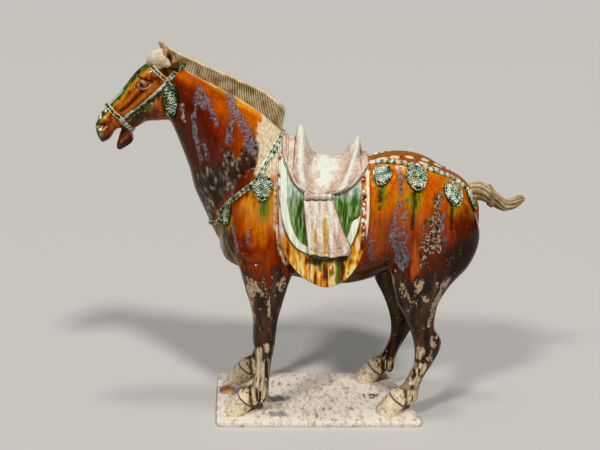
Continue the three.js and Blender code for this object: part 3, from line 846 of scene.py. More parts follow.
def saddle():
    """Blanket, panels, saddle and cloth as one sheet over the back, hanging free below the barrel."""
    hem = curve_through(BLANKET_HEM, HEM_CUTS)
    x = np.linspace(hem[0, 0], hem[-1, 0], SADDLE_COLUMNS)[:, None]
    drop = travel_to(x, np.interp(x, *hem.T))
    grid_x = np.repeat(x, SADDLE_ROWS, 1)
    travel = drop * np.linspace(-1, 1, SADDLE_ROWS)

    def lifted(rise):
        return draped(grid_x, travel, rise)[0][..., (0, 2)].reshape(-1, 2)

    height, skirt = (part.reshape(travel.shape) for part in saddle_height(lifted))
    _, angle = draped(grid_x, travel, 0)
    roll = skirt * roll_height(grid_x, angle)
    rim = rim_height(grid_x, angle)
    edge = smooth_step(drop - np.abs(travel), -0.1, 3)
    height = SHEET_SUNK + (height + roll - SHEET_SUNK) * (0.35 + 0.65 * edge)
    face, _ = draped(grid_x, travel, height)
    face[..., 2] += skirt * (crown_height(grid_x, angle) + rim)
    back_x = np.repeat(x, BACK_ROWS, 1)
    back, _ = draped(back_x, drop * np.linspace(1, -1, BACK_ROWS), SHEET_SUNK)
    rings = np.concatenate([face, back], 1)
    forward = ((x[-1] - x) / (x[-1] - x[0])) ** 6
    rings[..., 0] -= FRONT_BOW * forward * bell(rings[..., 2] - BOW_HEIGHT, BOW_REACH)
    # The tone carries a painted highlight on the rolls and rims and painted shade in the creases beside the
    # rolls.
    pale = roll / ROLL_RISE + 1.2 * smooth_step(rim / RIM_TOP, 0.2, 0.9)
    tones = np.concatenate([pale, np.zeros(back_x.shape)], 1)
    return mesh_object("saddle", [skin(rings, tones)])


def surface_finder(things):
    """Where a line from outside first meets any of the given objects, with the way the surface faces."""
    trees = [BVHTree.FromObject(thing, bpy.context.evaluated_depsgraph_get()) for thing in things]

    def find(start, end):
        start, end = Vector(start) * MM, Vector(end) * MM
        hits = [tree.ray_cast(start, (end - start).normalized()) for tree in trees]
        hits = [hit for hit in hits if hit[0] is not None]
        place, normal, _, _ = min(hits, key=lambda hit: hit[3])
        return np.array(place) / MM, np.array(normal)
    return find


def flank(find, side):
    return lambda place: find((place[0], side * AWAY, place[1]), (place[0], 0, place[1]))


STRAP_SECTION = [
    (-1, -1), (-1, 0.55), (-0.86, 1), (-0.66, 0.95), (-0.52, 0.55), (-0.25, 0.7), (0, 0.8), (0.25, 0.7),
    (0.52, 0.55), (0.66, 0.95), (0.86, 1), (1, 0.55), (1, -1),
]


def strap_tone(aside, worn):
    """How pale a strap is at a place across it: on its beads, on either edge or between them."""
    upper, middle, lower = worn
    if abs(aside) < BEAD_HALF:
        return middle
    if abs(aside) > EDGE_FROM:
        return upper if aside < 0 else lower
    return GROOVE_TONE


def strap(places, half, rise, bead, worn):
    """A moulded strap with raised edges and a row of beads along its middle, toned by how pale it is worn."""
    raw = np.array([np.concatenate(place) for place in places])
    length = np.linalg.norm(np.diff(raw[:, :3], axis=0), axis=1).sum()
    fine = curve_through(raw, max(8, int(length / STRAP_STEP)))
    points, normals = fine[:, :3], unit(fine[:, 3:])
    across = unit(np.cross(unit(np.gradient(points, axis=0)), normals))
    across *= -np.sign(across[:, 2].mean())
    beads = np.ones(len(points))
    if bead:
        beads = np.abs(np.sin(np.linspace(0, np.pi * length / bead, len(points))))
    rings, tones = [], []
    for aside, up in STRAP_SECTION:
        lift = rise * (up + BEAD_RISE * beads * (abs(aside) < BEAD_HALF))
        rings.append(points + across * half * aside + normals * lift[:, None])
        tones.append(strap_tone(aside, worn) * (0.35 + 0.65 * beads))
    return skin(np.stack(rings, 1), np.stack(tones, 1))


def curl_height(flat, wide, tall, seed):
    """Small round curls packed over an oval field, from 0 between them to 1 on top."""
    number = np.arange(CURLS)
    reach = 0.84 * np.sqrt((number + 0.5) / CURLS)
    turn = CURL_TURN * number + seed
    middles = np.stack([wide * reach * np.cos(turn), tall * reach * np.sin(turn)], 1)
    away = np.linalg.norm(flat[:, None] - middles[None], axis=2).min(1)
    radius = 1.05 * math.sqrt(wide * tall * 0.7 / CURLS)
    return np.sqrt(np.clip(1 - (away / radius) ** 2, 0, 1))


def rosette(place, wide, tall, seed, worn):
    """A leaf-shaped boss: a raised rim round a field of small curls."""
    point, normal = place
    down = unit(np.array([0, 0, -1]) + normal * normal[2])
    axes = np.stack([np.cross(down, normal), down, normal])
    turn = np.linspace(0, 2 * np.pi, ROSETTE_SIDES, endpoint=False)
    droop = tall * np.cos(turn) * (1 + 0.15 * np.maximum(0, np.cos(turn)))
    spread = wide * np.sin(turn) * (1 - 0.12 * np.cos(turn))
    outline = np.stack([spread, droop], 1) * (1 + 0.03 * np.cos(13 * turn + seed))[:, None]
    broken = 0.65 + 0.35 * np.sin(7 * turn + 3 * seed) * np.sin(11 * turn)
    rings, tones = [], []
    for scale in [1, *np.linspace(1, 0.04, ROSETTE_RINGS)]:
        flat = scale * outline
        curls = curl_height(flat, wide, tall, seed) * (scale < CURL_FIELD)
        dome = ROSETTE_RISE * (0.45 + 0.5 * (1 - scale ** 2) + 0.45 * bell(scale - 0.94, 0.05))
        high = dome + CURL_RISE * (curls - 0.4) if rings else np.full(len(turn), ROSETTE_SUNK)
        rings.append(point + np.column_stack([flat, high]) @ axes)
        edge = 0.95 * worn ** 3 * (RIM_FIELD[0] < scale < RIM_FIELD[1]) * broken
        tones.append(np.maximum(0.85 * worn * curls, edge))
    return skin(np.stack(rings), np.stack(tones))


def harness(find):
    on_nose = find(*NOSE_RAY)
    solids = []
    for side in (NEAR, FAR):
        on_flank = flank(find, side)
        on_chest = [find((-AWAY, side * y, z), (0, side * y, z)) for y, z in CHEST_CROSSING]
        for line, *make in STRAPS:
            before = [on_nose] if line is NOSEBAND else []
            after = on_chest if line is CHEST_STRAP else []
            solids.append(strap([*before, *map(on_flank, line), *after], *make))
        for place, size, seed, worn in ROSETTES:
            solids.append(rosette(on_flank(place), *size, seed, worn))
    return mesh_object("harness", solids)


def slab_rim():
    """The slab's outline with rounded corners, cut into even steps."""
    corners = np.array(SLAB_CORNERS, float)
    outline = []
    for before, corner, after in zip(np.roll(corners, 1, 0), corners, np.roll(corners, -1, 0)):
        start = corner + unit(before - corner) * SLAB_ROUND
        end = corner + unit(after - corner) * SLAB_ROUND
        for share in np.linspace(0, 1, CORNER_CUTS):
            outline.append((1 - share) ** 2 * start + 2 * share * (1 - share) * corner + share ** 2 * end)
    outline = np.array(outline + [outline[0]])
    steps = np.linalg.norm(np.diff(outline, axis=0), axis=1)
    along = np.concatenate([[0], np.cumsum(steps)])
    even = np.linspace(0, along[-1], SLAB_SIDES, endpoint=False)
    return np.stack([np.interp(even, along, axis) for axis in outline.T], 1)


def slab():
    """A thin slab, with a top that is a little uneven and a chipped edge."""
    rim = slab_rim()
    middle = rim.mean(0)
    rings = []
    for share, z in SLAB_PROFILE + [(share, SLAB_THICK) for share in np.linspace(0.985, 0.02, SLAB_RINGS)]:
        ring = np.column_stack([middle + (rim - middle) * share, np.full(len(rim), float(z))])
        if z > 3:
            ring[:, 2] -= SLAB_DIP * noise(ring, (26, 26, 40), 3) * (share < 0.99)
            ring[:, :2] -= (rim - middle) * SLAB_CHIP * noise(ring, 9, 4)[:, None] * (share > 0.9)
        rings.append(ring)
    return mesh_object("slab", [skin(np.stack(rings))])


def srgb(red, green, blue):
    share = np.array([red, green, blue]) / 255
    return np.where(share <= 0.04045, share / 12.92, ((share + 0.055) / 1.055) ** 2.4)


CREAM = srgb(242, 222, 178)
WHITE = srgb(238, 240, 226)
HONEY = srgb(210, 140, 34)
ORANGE = srgb(182, 82, 8)
AMBER = srgb(148, 58, 8)
DEEP = srgb(106, 32, 8)
RUSSET = srgb(72, 24, 10)
UMBER = srgb(50, 34, 24)
# A sooty black, laid both as the glaze's own dark runs and as painted shade.
SOOT_AND_SHADE = srgb(32, 27, 24)
BURNT = srgb(32, 18, 12)
GREEN = srgb(76, 110, 42)
DARK_GREEN = srgb(28, 48, 24)
PALE_GREEN = srgb(182, 208, 184)
CLAY = srgb(216, 192, 174)
PALE_CLAY = srgb(234, 226, 214)
# A dusty brown, laid both as dirt and as painted shade in the saddle's hollows.
DUST_AND_SHADE = srgb(128, 106, 84)
OCHRE = srgb(220, 160, 30)
GOLD = srgb(208, 126, 24)
OLD_GOLD = srgb(198, 138, 22)
BEIGE = srgb(214, 194, 160)
CHOCOLATE = srgb(50, 28, 16)
LILAC_DARK, LILAC_PALE = srgb(68, 58, 58), srgb(136, 130, 138)
BARE_DARK, BARE_PALE = srgb(114, 94, 76), srgb(206, 186, 158)


def ramp(value, stops):
    places, colours = zip(*stops)
    return np.stack([np.interp(value, places, channel) for channel in np.array(colours).T], 1)


def deepen(mark, share):
    """Raises a mark wherever the share is greater."""
    np.maximum(mark, share, out=mark)


class Coat:
    """The glaze on one piece: its colour, and how far it is clouded, flaked off, or was never laid."""

    def __init__(self, piece, ground):
        self.mesh = piece.data
        self.points = points_of(self.mesh)
        self.x, self.y, self.z = self.points.T
        self.flat = flank_places(self.points)
        self.normals = normals_of(self.mesh)
        self.near = smooth_step(self.y, 8, -8)
        self.ragged = self.grain((6, 6, 14), 31) - 0.5
        self.colour = np.tile(ground, (len(self.points), 1))
        self.cloud, self.flake, self.clay, self.bare = np.zeros((4, len(self.points)))

    def grain(self, cell, seed):
        return noise(self.points, cell, seed)

    def grains(self, *parts):
        """A sum of grains; each part is its share, cell and seed."""
        return sum(share * self.grain(cell, seed) for share, cell, seed in parts)

    def patches(self, cell, seed, low, high):
        """Patches that start where a grain passes low and are full where it passes high."""
        return smooth_step(self.grain(cell, seed), low, high)

    def stroke(self, line, half, rough=0.7, soft=0.6):
        """One along a line drawn on the flank, fading over a ragged edge."""
        return smooth_step(1 - line_distance(self.flat, line) / half + rough * self.ragged, 0, soft)

    def drip(self, line, half):
        """A soft run that thins out towards the line's end."""
        start, end = line[0][1], line[-1][1]
        left = (self.z - end) / (start - end)
        return self.stroke(line, half, 0.5, 0.9) * smooth_step(left, -0.2, 0.5)

    def blot(self, middle, size):
        away = np.linalg.norm((self.flat - middle) / size, axis=1)
        return smooth_step(1 - away + 0.7 * self.ragged, 0, 0.6)

    def zone(self, outline, ragged):
        """One inside an outline drawn on the flank, fading over a ragged edge."""
        return smooth_step(inside_distance(self.flat, outline) + ragged * self.ragged, -2.5, 2.5)

    def hollows(self):
        """Where painted shade goes: one in grooves and creases, none on open ground."""
        pull = pull_to_neighbours(self.points, edges_of(self.mesh))
        return smooth_step(np.einsum("ij,ij->i", pull, self.normals), 0.02, 0.16)

    def lay(self, colour, share):
        self.colour += (colour - self.colour) * np.clip(share, 0, 1)[:, None]

    def lay_all(self, marks, where=1):
        """Lays marks in order; each has a colour, a strength, the kind of mark and that kind's own values."""
        for colour, strength, kind, *shape in marks:
            self.lay(colour, strength * where * kind(self, *shape))

    def keep(self, name, kind, value, rows):
        made = self.mesh.attributes.new(name, kind, "POINT")
        made.data.foreach_set(value, rows.astype(np.float32).ravel())

    def store(self, material):
        marks = np.column_stack([self.cloud, self.flake, self.clay])
        self.keep("glaze", "FLOAT_COLOR", "color", np.column_stack([self.colour, np.ones(len(marks))]))
        self.keep("wear", "FLOAT_VECTOR", "vector", np.clip(marks, 0, 1))
        self.mesh.materials.append(material)


# The lower edge of the glaze along the horse, and the glaze's colours from the back down to it.
GLAZE_EDGE = [
    (-250, 470), (-215, 440), (-185, 372), (-160, 318), (-140, 278), (-100, 270), (-75, 260), (-48, 264),
    (90, 250), (135, 272), (163, 265), (190, 270), (215, 265), (250, 285), (300, 318),
]
GLAZE_RUN = [
    (-0.1, HONEY), (0.005, HONEY), (0.055, ORANGE), (0.4, ORANGE), (0.6, AMBER), (0.8, DEEP),
    (1.0, RUSSET), (1.2, UMBER), (1.4, SOOT_AND_SHADE),
]
WITHERS = [
    (-81, 545), (-20, 525), (-20, 480), (-50, 480), (-57, 440), (-72, 436), (-86, 434), (-94, 440),
    (-89, 463), (-91, 496),
]
CHARCOAL = [
    (-192, 444), (-176, 451), (-160, 447), (-150, 463), (-140, 482), (-127, 470), (-112, 487),
    (-103, 496), (-92, 477), (-94, 458), (-106, 444), (-124, 428), (-142, 401), (-161, 374), (-174, 362),
    (-188, 391), (-197, 423),
]
# The plainer marks of the far side stop here, short of the head.
NECK_END = -225
# Marks as seen from the side: a line and its reach to either side, an outline, or a middle and its size.
CLOUD_LINES = [
    ([(-184, 577), (-192, 551), (-196, 528), (-194, 500), (-189, 481), (-186, 460)], 5),
    ([(-181, 573), (-174, 560), (-165, 542), (-158, 521)], 6.5), ([(-185, 572), (-180, 552)], 13),
    ([(-179, 488), (-176, 464)], 4.5), ([(-136, 563), (-132, 545), (-124, 536), (-114, 520)], 8.5),
    ([(-114, 520), (-105, 501), (-102, 482)], 13), ([(-132, 540), (-136, 515), (-138, 492)], 6.5),
    ([(-133, 353), (-125, 312)], 4), ([(-105, 348), (-107, 324)], 4), ([(97, 345), (99, 296)], 6),
    ([(146, 448), (146, 408)], 5), ([(212, 409), (211, 390)], 5), ([(216, 376), (219, 330)], 7),
]
LILAC = [
    (143, 403), (150, 403), (155, 407), (155, 374), (155, 356), (162, 322), (162, 301), (155, 280),
    (144, 282), (135, 299), (128, 328), (130, 359), (136, 384),
]
LILAC_GAP = [(145, 386), (146, 330)]
SPECKLED = [
    (200, 398), (212, 408), (211, 392), (217, 374), (220, 336), (218, 312), (206, 318), (193, 302),
    (182, 289), (181, 325), (188, 346), (188, 370), (199, 385),
]
FLAKE_LINES = [
    ([(-214, 553), (-211, 526)], 3), ([(-108, 258), (-106, 242), (-103, 212)], 7.5),
    ([(-99, 252), (-88, 246), (-84, 238)], 6), ([(-102, 204), (-99, 186)], 3.5),
    ([(-48, 263), (-52, 245)], 5), ([(-67, 248), (-58, 256)], 4), ([(-73, 228), (-72, 197)], 2.5),
    ([(181, 261), (177, 244)], 6), ([(158, 238), (163, 230)], 5), ([(150, 256), (155, 250)], 4),
    ([(141, 279), (141, 272)], 4), ([(190, 232), (199, 226)], 4),
    ([(229, 262), (219, 242), (210, 220), (204, 195), (200, 179)], 4.5), ([(206, 157), (217, 158)], 4),
    ([(206, 154), (211, 142)], 4.5), ([(185, 138), (185, 116)], 5),
    ([(180, 105), (170, 86), (159, 64)], 5), ([(207, 130), (195, 105), (184, 77), (179, 54)], 4),
    ([(167, 70), (166, 60)], 8), ([(138, 266), (141, 232), (149, 210), (159, 191)], 2.5),
]
CANNON = [(-95, 136), (-74, 146), (-76, 104), (-79, 56), (-106, 56), (-97, 100)]
HIND_CANNON = [
    (181, 138), (193, 136), (199, 121), (210, 125), (190, 77), (186, 62), (157, 62), (168, 89),
    (180, 112),
]
# Dark blots, a middle and a size: the one low on the back of the rump is painted shade; the other lies down
# the front of the chest.
DARK_BLOTS = [((252, 304), (46, 42)), ((-138, 318), (12, 40))]
GREEN_RUNS = [
    ([(-80, 408), (-81, 360)], 12, GREEN), ([(115, 424), (115, 384)], 8, GREEN),
    ([(163, 410), (165, 378)], 5, GREEN), ([(175, 410), (172, 378)], 5, GREEN),
    ([(235, 392), (234, 372)], 6, GREEN),
    ([(-147, 360), (-150, 337), (-139, 300), (-128, 282)], 9, DARK_GREEN),
]
DARK_RUNS = [
    ([(112, 412), (112, 384)], 4), ([(169, 414), (168, 384), (166, 351)], 3.4),
    ([(231, 392), (231, 344)], 3.4), ([(272, 392), (276, 350)], 3),
]
# Tints over the near side's glaze: a colour, its strength, a middle and its size. The dark ones along the
# neck's front edge and on the back of the rump are painted shade where those ends turn from the light.
TINTS_AND_SHADE = [
    (RUSSET, 0.5, (167, 350), (7, 36)), (UMBER, 0.7, (113, 350), (5, 38)),
    (RUSSET, 0.5, (262, 362), (24, 26)), (SOOT_AND_SHADE, 0.75, (178, 248), (28, 22)),
    (HONEY, 0.75, (-106, 392), (16, 18)), (HONEY, 0.4, (-90, 368), (36, 46)),
    (RUSSET, 0.85, (-205, 470), (12, 60)), (SOOT_AND_SHADE, 0.8, (-226, 500), (9, 22)),
    (ORANGE, 0.5, (-92, 345), (30, 34)), (DEEP, 0.5, (-195, 572), (26, 20)),
    (DEEP, 0.45, (-160, 566), (46, 16)), (DEEP, 0.4, (-140, 515), (34, 42)),
    (AMBER, 0.5, (-88, 296), (34, 28)), (ORANGE, 0.7, (172, 296), (8, 42)),
    (ORANGE, 0.5, (112, 330), (14, 50)),
]
RUMP_SPOTS = [
    (104, 462), (130, 465), (140, 474), (165, 474), (188, 462), (210, 453), (234, 441), (117, 471),
    (192, 470), (214, 461), (256, 427),
]
# Spots slant with the rump, and are drawn as seen from a little above, over the ridge too.
RUMP_SPOT_SIZE = (9.5, 3.6)
RUMP_SPOT_SLANT = 0.35
SPOT_TILT, SPOT_OUT = 0.27, 70
FACE_FRONT = [
    (-248, 632), (-270, 622), (-292, 606), (-312, 584), (-330, 564), (-345, 550), (-357, 536),
    (-367, 518), (-366, 500),
]
BLANKET_RUNS = [([(14, 300), (14, 282)], 5), ([(46, 304), (44, 262)], 6)]
CLOTH_SHADE = [
    (-7, 315), (-5, 291), (14, 291), (19, 297), (28, 295), (37, 299), (48, 296), (61, 298), (64, 314),
]
CLOTH_STAINS = [([(6, 352), (6, 314)], 5), ([(21, 371), (24, 312)], 7)]
# A worn pale edge beside the front of the blanket.
FRINGE = [(-58, 437), (-61, 400), (-59, 352), (-52, 314), (-42, 292)]
HOOF_RUNS = [([(-108, 60), (-104, 28)], 3.5), ([(-97, 62), (-94, 40)], 3), ([(165, 58), (166, 24)], 4)]
JAW_SHADE = [(-306, 527), (-288, 540), (-274, 546), (-264, 533), (-279, 526), (-296, 515), (-310, 508)]
UNDER_STRAP = [(-303, 525), (-284, 541), (-268, 551), (-251, 569)]
MOUTH = [(-323, 517), (-312, 515), (-309, 503), (-323, 499)]
NOSE_HIGHLIGHT = [(-339, 552), (-327, 563), (-317, 573)]
FORELOCK_SHADOW = [(-258, 613), (-226, 618), (-229, 599), (-239, 594), (-249, 602)]
UPPER_LID = [(-286, 597), (-278, 595), (-270, 592), (-265, 590)]
SHADE_BEHIND_EYE = [(-267, 600), (-254, 599), (-251, 591), (-263, 589)]
LOWER_LID = [(-286, 585), (-283, 579), (-278, 577), (-270, 579), (-265, 584)]
# Marks laid in order: a colour, its strength, the kind of mark and that kind's own values.
FACE_MARKS = [
    # Painted shade inside the mouth.
    (SOOT_AND_SHADE, 0.9, Coat.zone, MOUTH, 3),
    # A painted highlight on the lower lip.
    (srgb(150, 98, 60), 0.8, Coat.stroke, [(-324, 486), (-313, 494)], 3),
    (srgb(150, 124, 76), 0.8, Coat.stroke, [(-307, 501), (-302, 492)], 2.4),
    # Painted shadow under the forelock.
    (srgb(48, 30, 20), 0.95, Coat.zone, FORELOCK_SHADOW, 3),
    (srgb(34, 46, 24), 0.92, Coat.stroke, UNDER_STRAP, 6.5, 1.2),
    (srgb(86, 98, 30), 0.85, Coat.blot, (-270, 548), (9, 9)),
]
EYE_MARKS = [
    # Painted shade behind the eye, under the brow.
    (srgb(70, 32, 16), 0.85, Coat.zone, SHADE_BEHIND_EYE, 4),
    (srgb(196, 116, 40), 0.8, Coat.blot, (-271, 603), (11, 6)),
    (srgb(192, 152, 128), 0.95, Coat.blot, (-278, 586), (10, 10)),
    (srgb(36, 18, 18), 1, Coat.blot, (-280, 584), (8.5, 7)),
    (srgb(48, 24, 14), 0.85, Coat.stroke, UPPER_LID, 1.8, 0.2),
    (srgb(188, 146, 116), 0.8, Coat.stroke, LOWER_LID, 1.8, 0),
]
NOSTRIL_MARKS = [
    # Painted shade in the nostril's hollow.
    (UMBER, 0.95, Coat.blot, (-351, 516), (8, 5)),
    (CREAM, 0.4, Coat.stroke, [(-357, 508), (-350, 507), (-345, 513)], 1.6),
]
# The grey-blue blots are painted shadows on the slab around the forelegs; the brown and ochre ones are glaze
# that ran off the hooves.
SLAB_SHADOWS_AND_SPLASHES = [
    (srgb(112, 112, 124), 0.8, Coat.blot, (-128, 14), (40, 26)),
    (srgb(92, 94, 108), 0.8, Coat.blot, (-66, -16), (36, 18)),
    (srgb(110, 110, 118), 0.7, Coat.blot, (-60, -76), (26, 14)),
    (srgb(134, 66, 26), 0.85, Coat.blot, (-158, 24), (20, 26)),
    (OCHRE, 0.85, Coat.blot, (-152, 14), (10, 12)),
]
# Colours by depth or by grain.
LEG_STAINS = [
    (0.25, SOOT_AND_SHADE), (0.48, srgb(54, 42, 36)), (0.6, srgb(80, 62, 52)), (0.68, srgb(84, 38, 22)), (0.8, UMBER),
]
FETLOCK_STRIPES = [(0.24, UMBER), (0.34, DUST_AND_SHADE), (0.44, srgb(208, 188, 156))]
BURNT_GREYS = [(0.3, SOOT_AND_SHADE), (0.48, srgb(50, 46, 44)), (0.6, srgb(64, 52, 38)), (0.72, srgb(100, 92, 86))]
FACE_AMBERS = [(0.2, DEEP), (0.45, srgb(136, 62, 12)), (0.8, srgb(172, 88, 18))]
FACE_GREENS = [
    (0.3, DARK_GREEN), (0.5, srgb(62, 84, 40)), (0.7, srgb(104, 128, 74)), (0.85, PALE_GREEN), (0.95, WHITE),
]
BLANKET_DRIPS = [
    (0.25, RUSSET), (0.35, AMBER), (0.42, GOLD), (0.52, OCHRE), (0.6, srgb(240, 216, 130)), (0.66, CREAM),
    (0.72, GOLD), (0.84, GREEN),
]
STRIP_AMBERS = [(0.35, DEEP), (0.5, ORANGE), (0.72, GOLD)]
FRINGE_CLAYS = [(0.2, AMBER), (0.35, CLAY), (0.7, PALE_CLAY)]
PANEL_GREENS = [(0.25, DARK_GREEN), (0.5, GREEN), (0.75, srgb(140, 166, 116))]
HARNESS_GREENS = [
    (0.1, srgb(32, 48, 30)), (0.4, srgb(94, 114, 92)), (0.7, srgb(170, 184, 166)), (1.0, srgb(228, 230, 210)),
]


def glaze_depth(coat):
    """How far down the run of the glaze places lie: 0 along the back and crest, 1 at its lower edge."""
    crest = curve_through(CREST, CREST_CUTS)
    top, _, _ = torso_at(coat.x)
    top = np.where(coat.x < crest[-1, 0], np.interp(coat.x, *crest.T), top)
    edge = np.interp(coat.x, *np.array(GLAZE_EDGE).T)
    return (top - coat.z) / (top - edge)


def paint_glaze_run(coat):
    """Amber glaze that thins to honey along the back and crest and pools dark at its lower edge."""
    x, z = coat.x, coat.z
    run = coat.grain((8, 8, 130), 11) - 0.5
    fine_run = coat.grain((3.5, 3.5, 80), 12) - 0.5
    broad = coat.grain((40, 40, 60), 13) - 0.5
    down = glaze_depth(coat)
    neck = smooth_step(x, -80, -100) * smooth_step(z, 370, 430)
    throat = smooth_step(x, -150, -215) * neck
    crest_end = smooth_step(x, -165, -100) * neck
    shoulder = smooth_step(x, -40, -60) * smooth_step(x, -150, -125) * (1 - neck)
    rump = smooth_step(x, 185, 262)
    wander = (0.32 * run + 0.22 * fine_run + 0.25 * broad) * smooth_step(down, 0.01, 0.15)
    paler = 0.3 * shoulder * (1 - smooth_step(down, 0.5, 0.85))
    # The extra darkness on the neck, throat and rump is partly the glaze's own colour and partly painted
    # shade where those ends turn from the light.
    darker = 0.52 * neck + 0.22 * throat - paler + 0.42 * rump
    depth = down + wander + smooth_step(down, 0.02, 0.18) * darker + 0.09 * throat - 0.045 * crest_end
    depth -= 0.85 * neck * np.maximum(0, depth - 0.95)
    coat.colour = ramp(depth, GLAZE_RUN)
    coat.lay(HONEY, 0.6 * coat.blot((-78, 396), (34, 60)))
    coat.lay(HONEY, 0.5 * smooth_step(broad + 0.6 * run, 0, 0.3) * smooth_step(down, 0.5, 0.3) * (1 - neck))
    crest_line = smooth_step(down, 0.022, 0.008) * smooth_step(x, -222, -205) * smooth_step(x, -50, -60)
    coat.lay(CREAM, 0.7 * crest_line)
    coat.bare = smooth_step(down + 0.16 * run + 0.1 * fine_run, 0.97, 1.02)


def paint_withers(coat):
    """Bare slip with brown cracks, where the mane ends."""
    withers = coat.zone(WITHERS, 8)
    crack = smooth_step(np.abs(coat.grain((9, 9, 22), 14) - 0.5), 0.05, 0)
    coat.lay(srgb(218, 202, 172), 0.95 * withers)
    coat.lay(DUST_AND_SHADE, 0.55 * withers * crack)


def paint_bare_legs(coat):
    """Below the glaze: dark stained clay, streaked brown and worn to beige lower down, with painted shade
    where it faces down under the body.
    """
    patch = coat.grains((0.5, (8, 8, 16), 21), (0.3, (3.4, 3.4, 6), 22), (0.2, (2, 2, 3), 24))
    coat.lay(ramp(0.7 * coat.grain((9, 9, 45), 23) + 0.3 * patch, LEG_STAINS), coat.bare)
    lower = smooth_step(coat.z, 140, 70)
    deepen(coat.flake, 0.75 * coat.bare * smooth_step(patch + 0.14 * lower - 0.03 * coat.near, 0.58, 0.8))
    # Painted shade where the surface faces down, above the lower legs.
    belly_shade = smooth_step(coat.normals[:, 2], -0.3, -0.7) * (coat.z > 200)
    coat.lay(UMBER, 0.9 * belly_shade)


def paint_hooves(coat):
    """Cream hooves in front of a dark line, and striped fetlocks behind it."""
    foot = smooth_step(coat.z, 62, 56)
    dirt = coat.patches(5, 25, 0.55, 0.85)
    coat.lay(ramp(coat.grain((3, 3, 40), 26), FETLOCK_STRIPES), foot)
    for line in CORONETS:
        front, back = np.array(line, float)
        along_x, along_z = unit(back - front)
        away_x, away_z = (coat.flat - front).T
        behind = along_x * away_z - along_z * away_x
        hoof = foot * smooth_step(behind, 13, 9) * (np.abs(away_x) < 60)
        coat.lay(srgb(222, 206, 178), hoof)
        coat.lay(DUST_AND_SHADE, 0.6 * hoof * dirt)
        coat.lay(UMBER, 0.9 * bell(line_distance(coat.flat, line), CORONET_REACH))
    for line, half in HOOF_RUNS:
        coat.lay(srgb(70, 40, 20), 0.9 * coat.stroke(line, half))
    deepen(coat.clay, foot)


def paint_charcoal(coat):
    """Burnt glaze low on the neck, grey and olive, speckled with pale grit."""
    burnt = coat.zone(CHARCOAL, 26)
    coat.lay(ramp(coat.grains((0.6, (9, 9, 12), 43), (0.4, (4, 4, 5), 44)), BURNT_GREYS), 0.93 * burnt)
    grit = smooth_step(coat.grains((1, 4, 45), (0.4, 16, 46)), 0.86, 1.06)
    coat.lay(srgb(172, 160, 146), 0.75 * burnt * grit)


def spot_distance(coat, x, z):
    """How far places lie from a leaf-shaped spot on the back, 1 at its edge; a spot widens over the ridge."""
    seen = coat.z + SPOT_TILT * (SPOT_OUT - np.abs(coat.y))
    slope = RUMP_SPOT_SLANT * smooth_step(x, 120, 200) * (coat.x - x)
    return np.hypot((coat.x - x) / RUMP_SPOT_SIZE[0], (seen - z + slope) / RUMP_SPOT_SIZE[1])


def paint_drips(coat):
    """Tints in the glaze, some of them painted shade, dark blots, and the green and dark runs below the
    bosses.
    """
    for colour, strength, place, size in TINTS_AND_SHADE:
        coat.lay(colour, strength * coat.near * coat.blot(place, size))
    for line, half, _ in GREEN_RUNS:
        coat.lay(OLD_GOLD, 0.8 * coat.drip(line, 2.2 * half))
    for line, half, colour in GREEN_RUNS:
        coat.lay(colour, 0.95 * coat.drip(line, 1.25 * half))
    for middle, size in DARK_BLOTS:
        coat.lay(BURNT, 0.92 * coat.blot(middle, size))
    for line, half in DARK_RUNS:
        coat.lay(SOOT_AND_SHADE, 0.95 * coat.stroke(line, half, 0))
    coat.lay(srgb(214, 188, 164), coat.stroke(FRINGE, 5) * coat.patches((3, 3, 5), 50, 0.2, 0.5))


def paint_spots(coat):
    """A row of cream spots with dark edges, along the rump above the strap."""
    strap_height = np.interp(coat.x, *np.array(HIP_STRAP).T)
    spotted = smooth_step(coat.z - strap_height, 0, 3) * smooth_step(coat.x, 90, 100)
    coat.lay(AMBER, 0.7 * spotted)
    spots = [spot_distance(coat, *place) for place in RUMP_SPOTS]
    for away in spots:
        coat.lay(RUSSET, 0.7 * spotted * smooth_step(1.5 - away, 0, 0.4))
    for away in spots:
        coat.lay(CREAM, spotted * smooth_step(1 - away + 0.3 * coat.ragged, 0, 0.35))


def paint_clouds(coat):
    """The clouded places that show on the near side, and plainer ones on the far side."""
    for line, half in CLOUD_LINES:
        deepen(coat.cloud, 0.9 * coat.near * coat.stroke(line, half))
    lilac = coat.zone(LILAC, 16) * (1 - 0.8 * coat.stroke(LILAC_GAP, 4))
    deepen(coat.cloud, 0.95 * coat.near * lilac)
    far = (1 - coat.near) * (coat.x > NECK_END) * (1 - coat.bare)
    deepen(coat.cloud, far * coat.patches((16, 16, 60), 41, 0.66, 0.85))
    deepen(coat.flake, 0.6 * far * coat.patches((14, 14, 30), 42, 0.74, 0.88))


def paint_flakes(coat):
    """Where glaze has crumbled off the near side, down to beige on the shins."""
    speckled = coat.near * coat.zone(SPECKLED, 16)
    grit = coat.grains((0.6, (5, 5, 9), 47), (0.4, (3, 3, 4), 40))
    coat.lay(srgb(60, 42, 34), 0.85 * speckled)
    deepen(coat.flake, speckled * (0.16 + 0.42 * grit))
    crumbled = coat.near * (0.3 + 0.8 * coat.grain((5, 5, 8), 48))
    for line, half in FLAKE_LINES:
        deepen(coat.flake, crumbled * coat.stroke(line, 1.25 * half, 1.5))
    deepen(coat.flake, 0.5 * coat.near * coat.patches((3.4, 3.4, 5), 49, 0.84, 0.95))
    stripes = coat.zone(CANNON, 10) * coat.patches((3, 3, 70), 27, 0.34, 0.46)
    stipple = coat.zone(HIND_CANNON, 8) * coat.patches((4, 4, 8), 28, 0.47, 0.6)
    shins = coat.near * np.maximum(stripes, stipple)
    coat.lay(BEIGE, 0.95 * shins)
    deepen(coat.clay, shins)


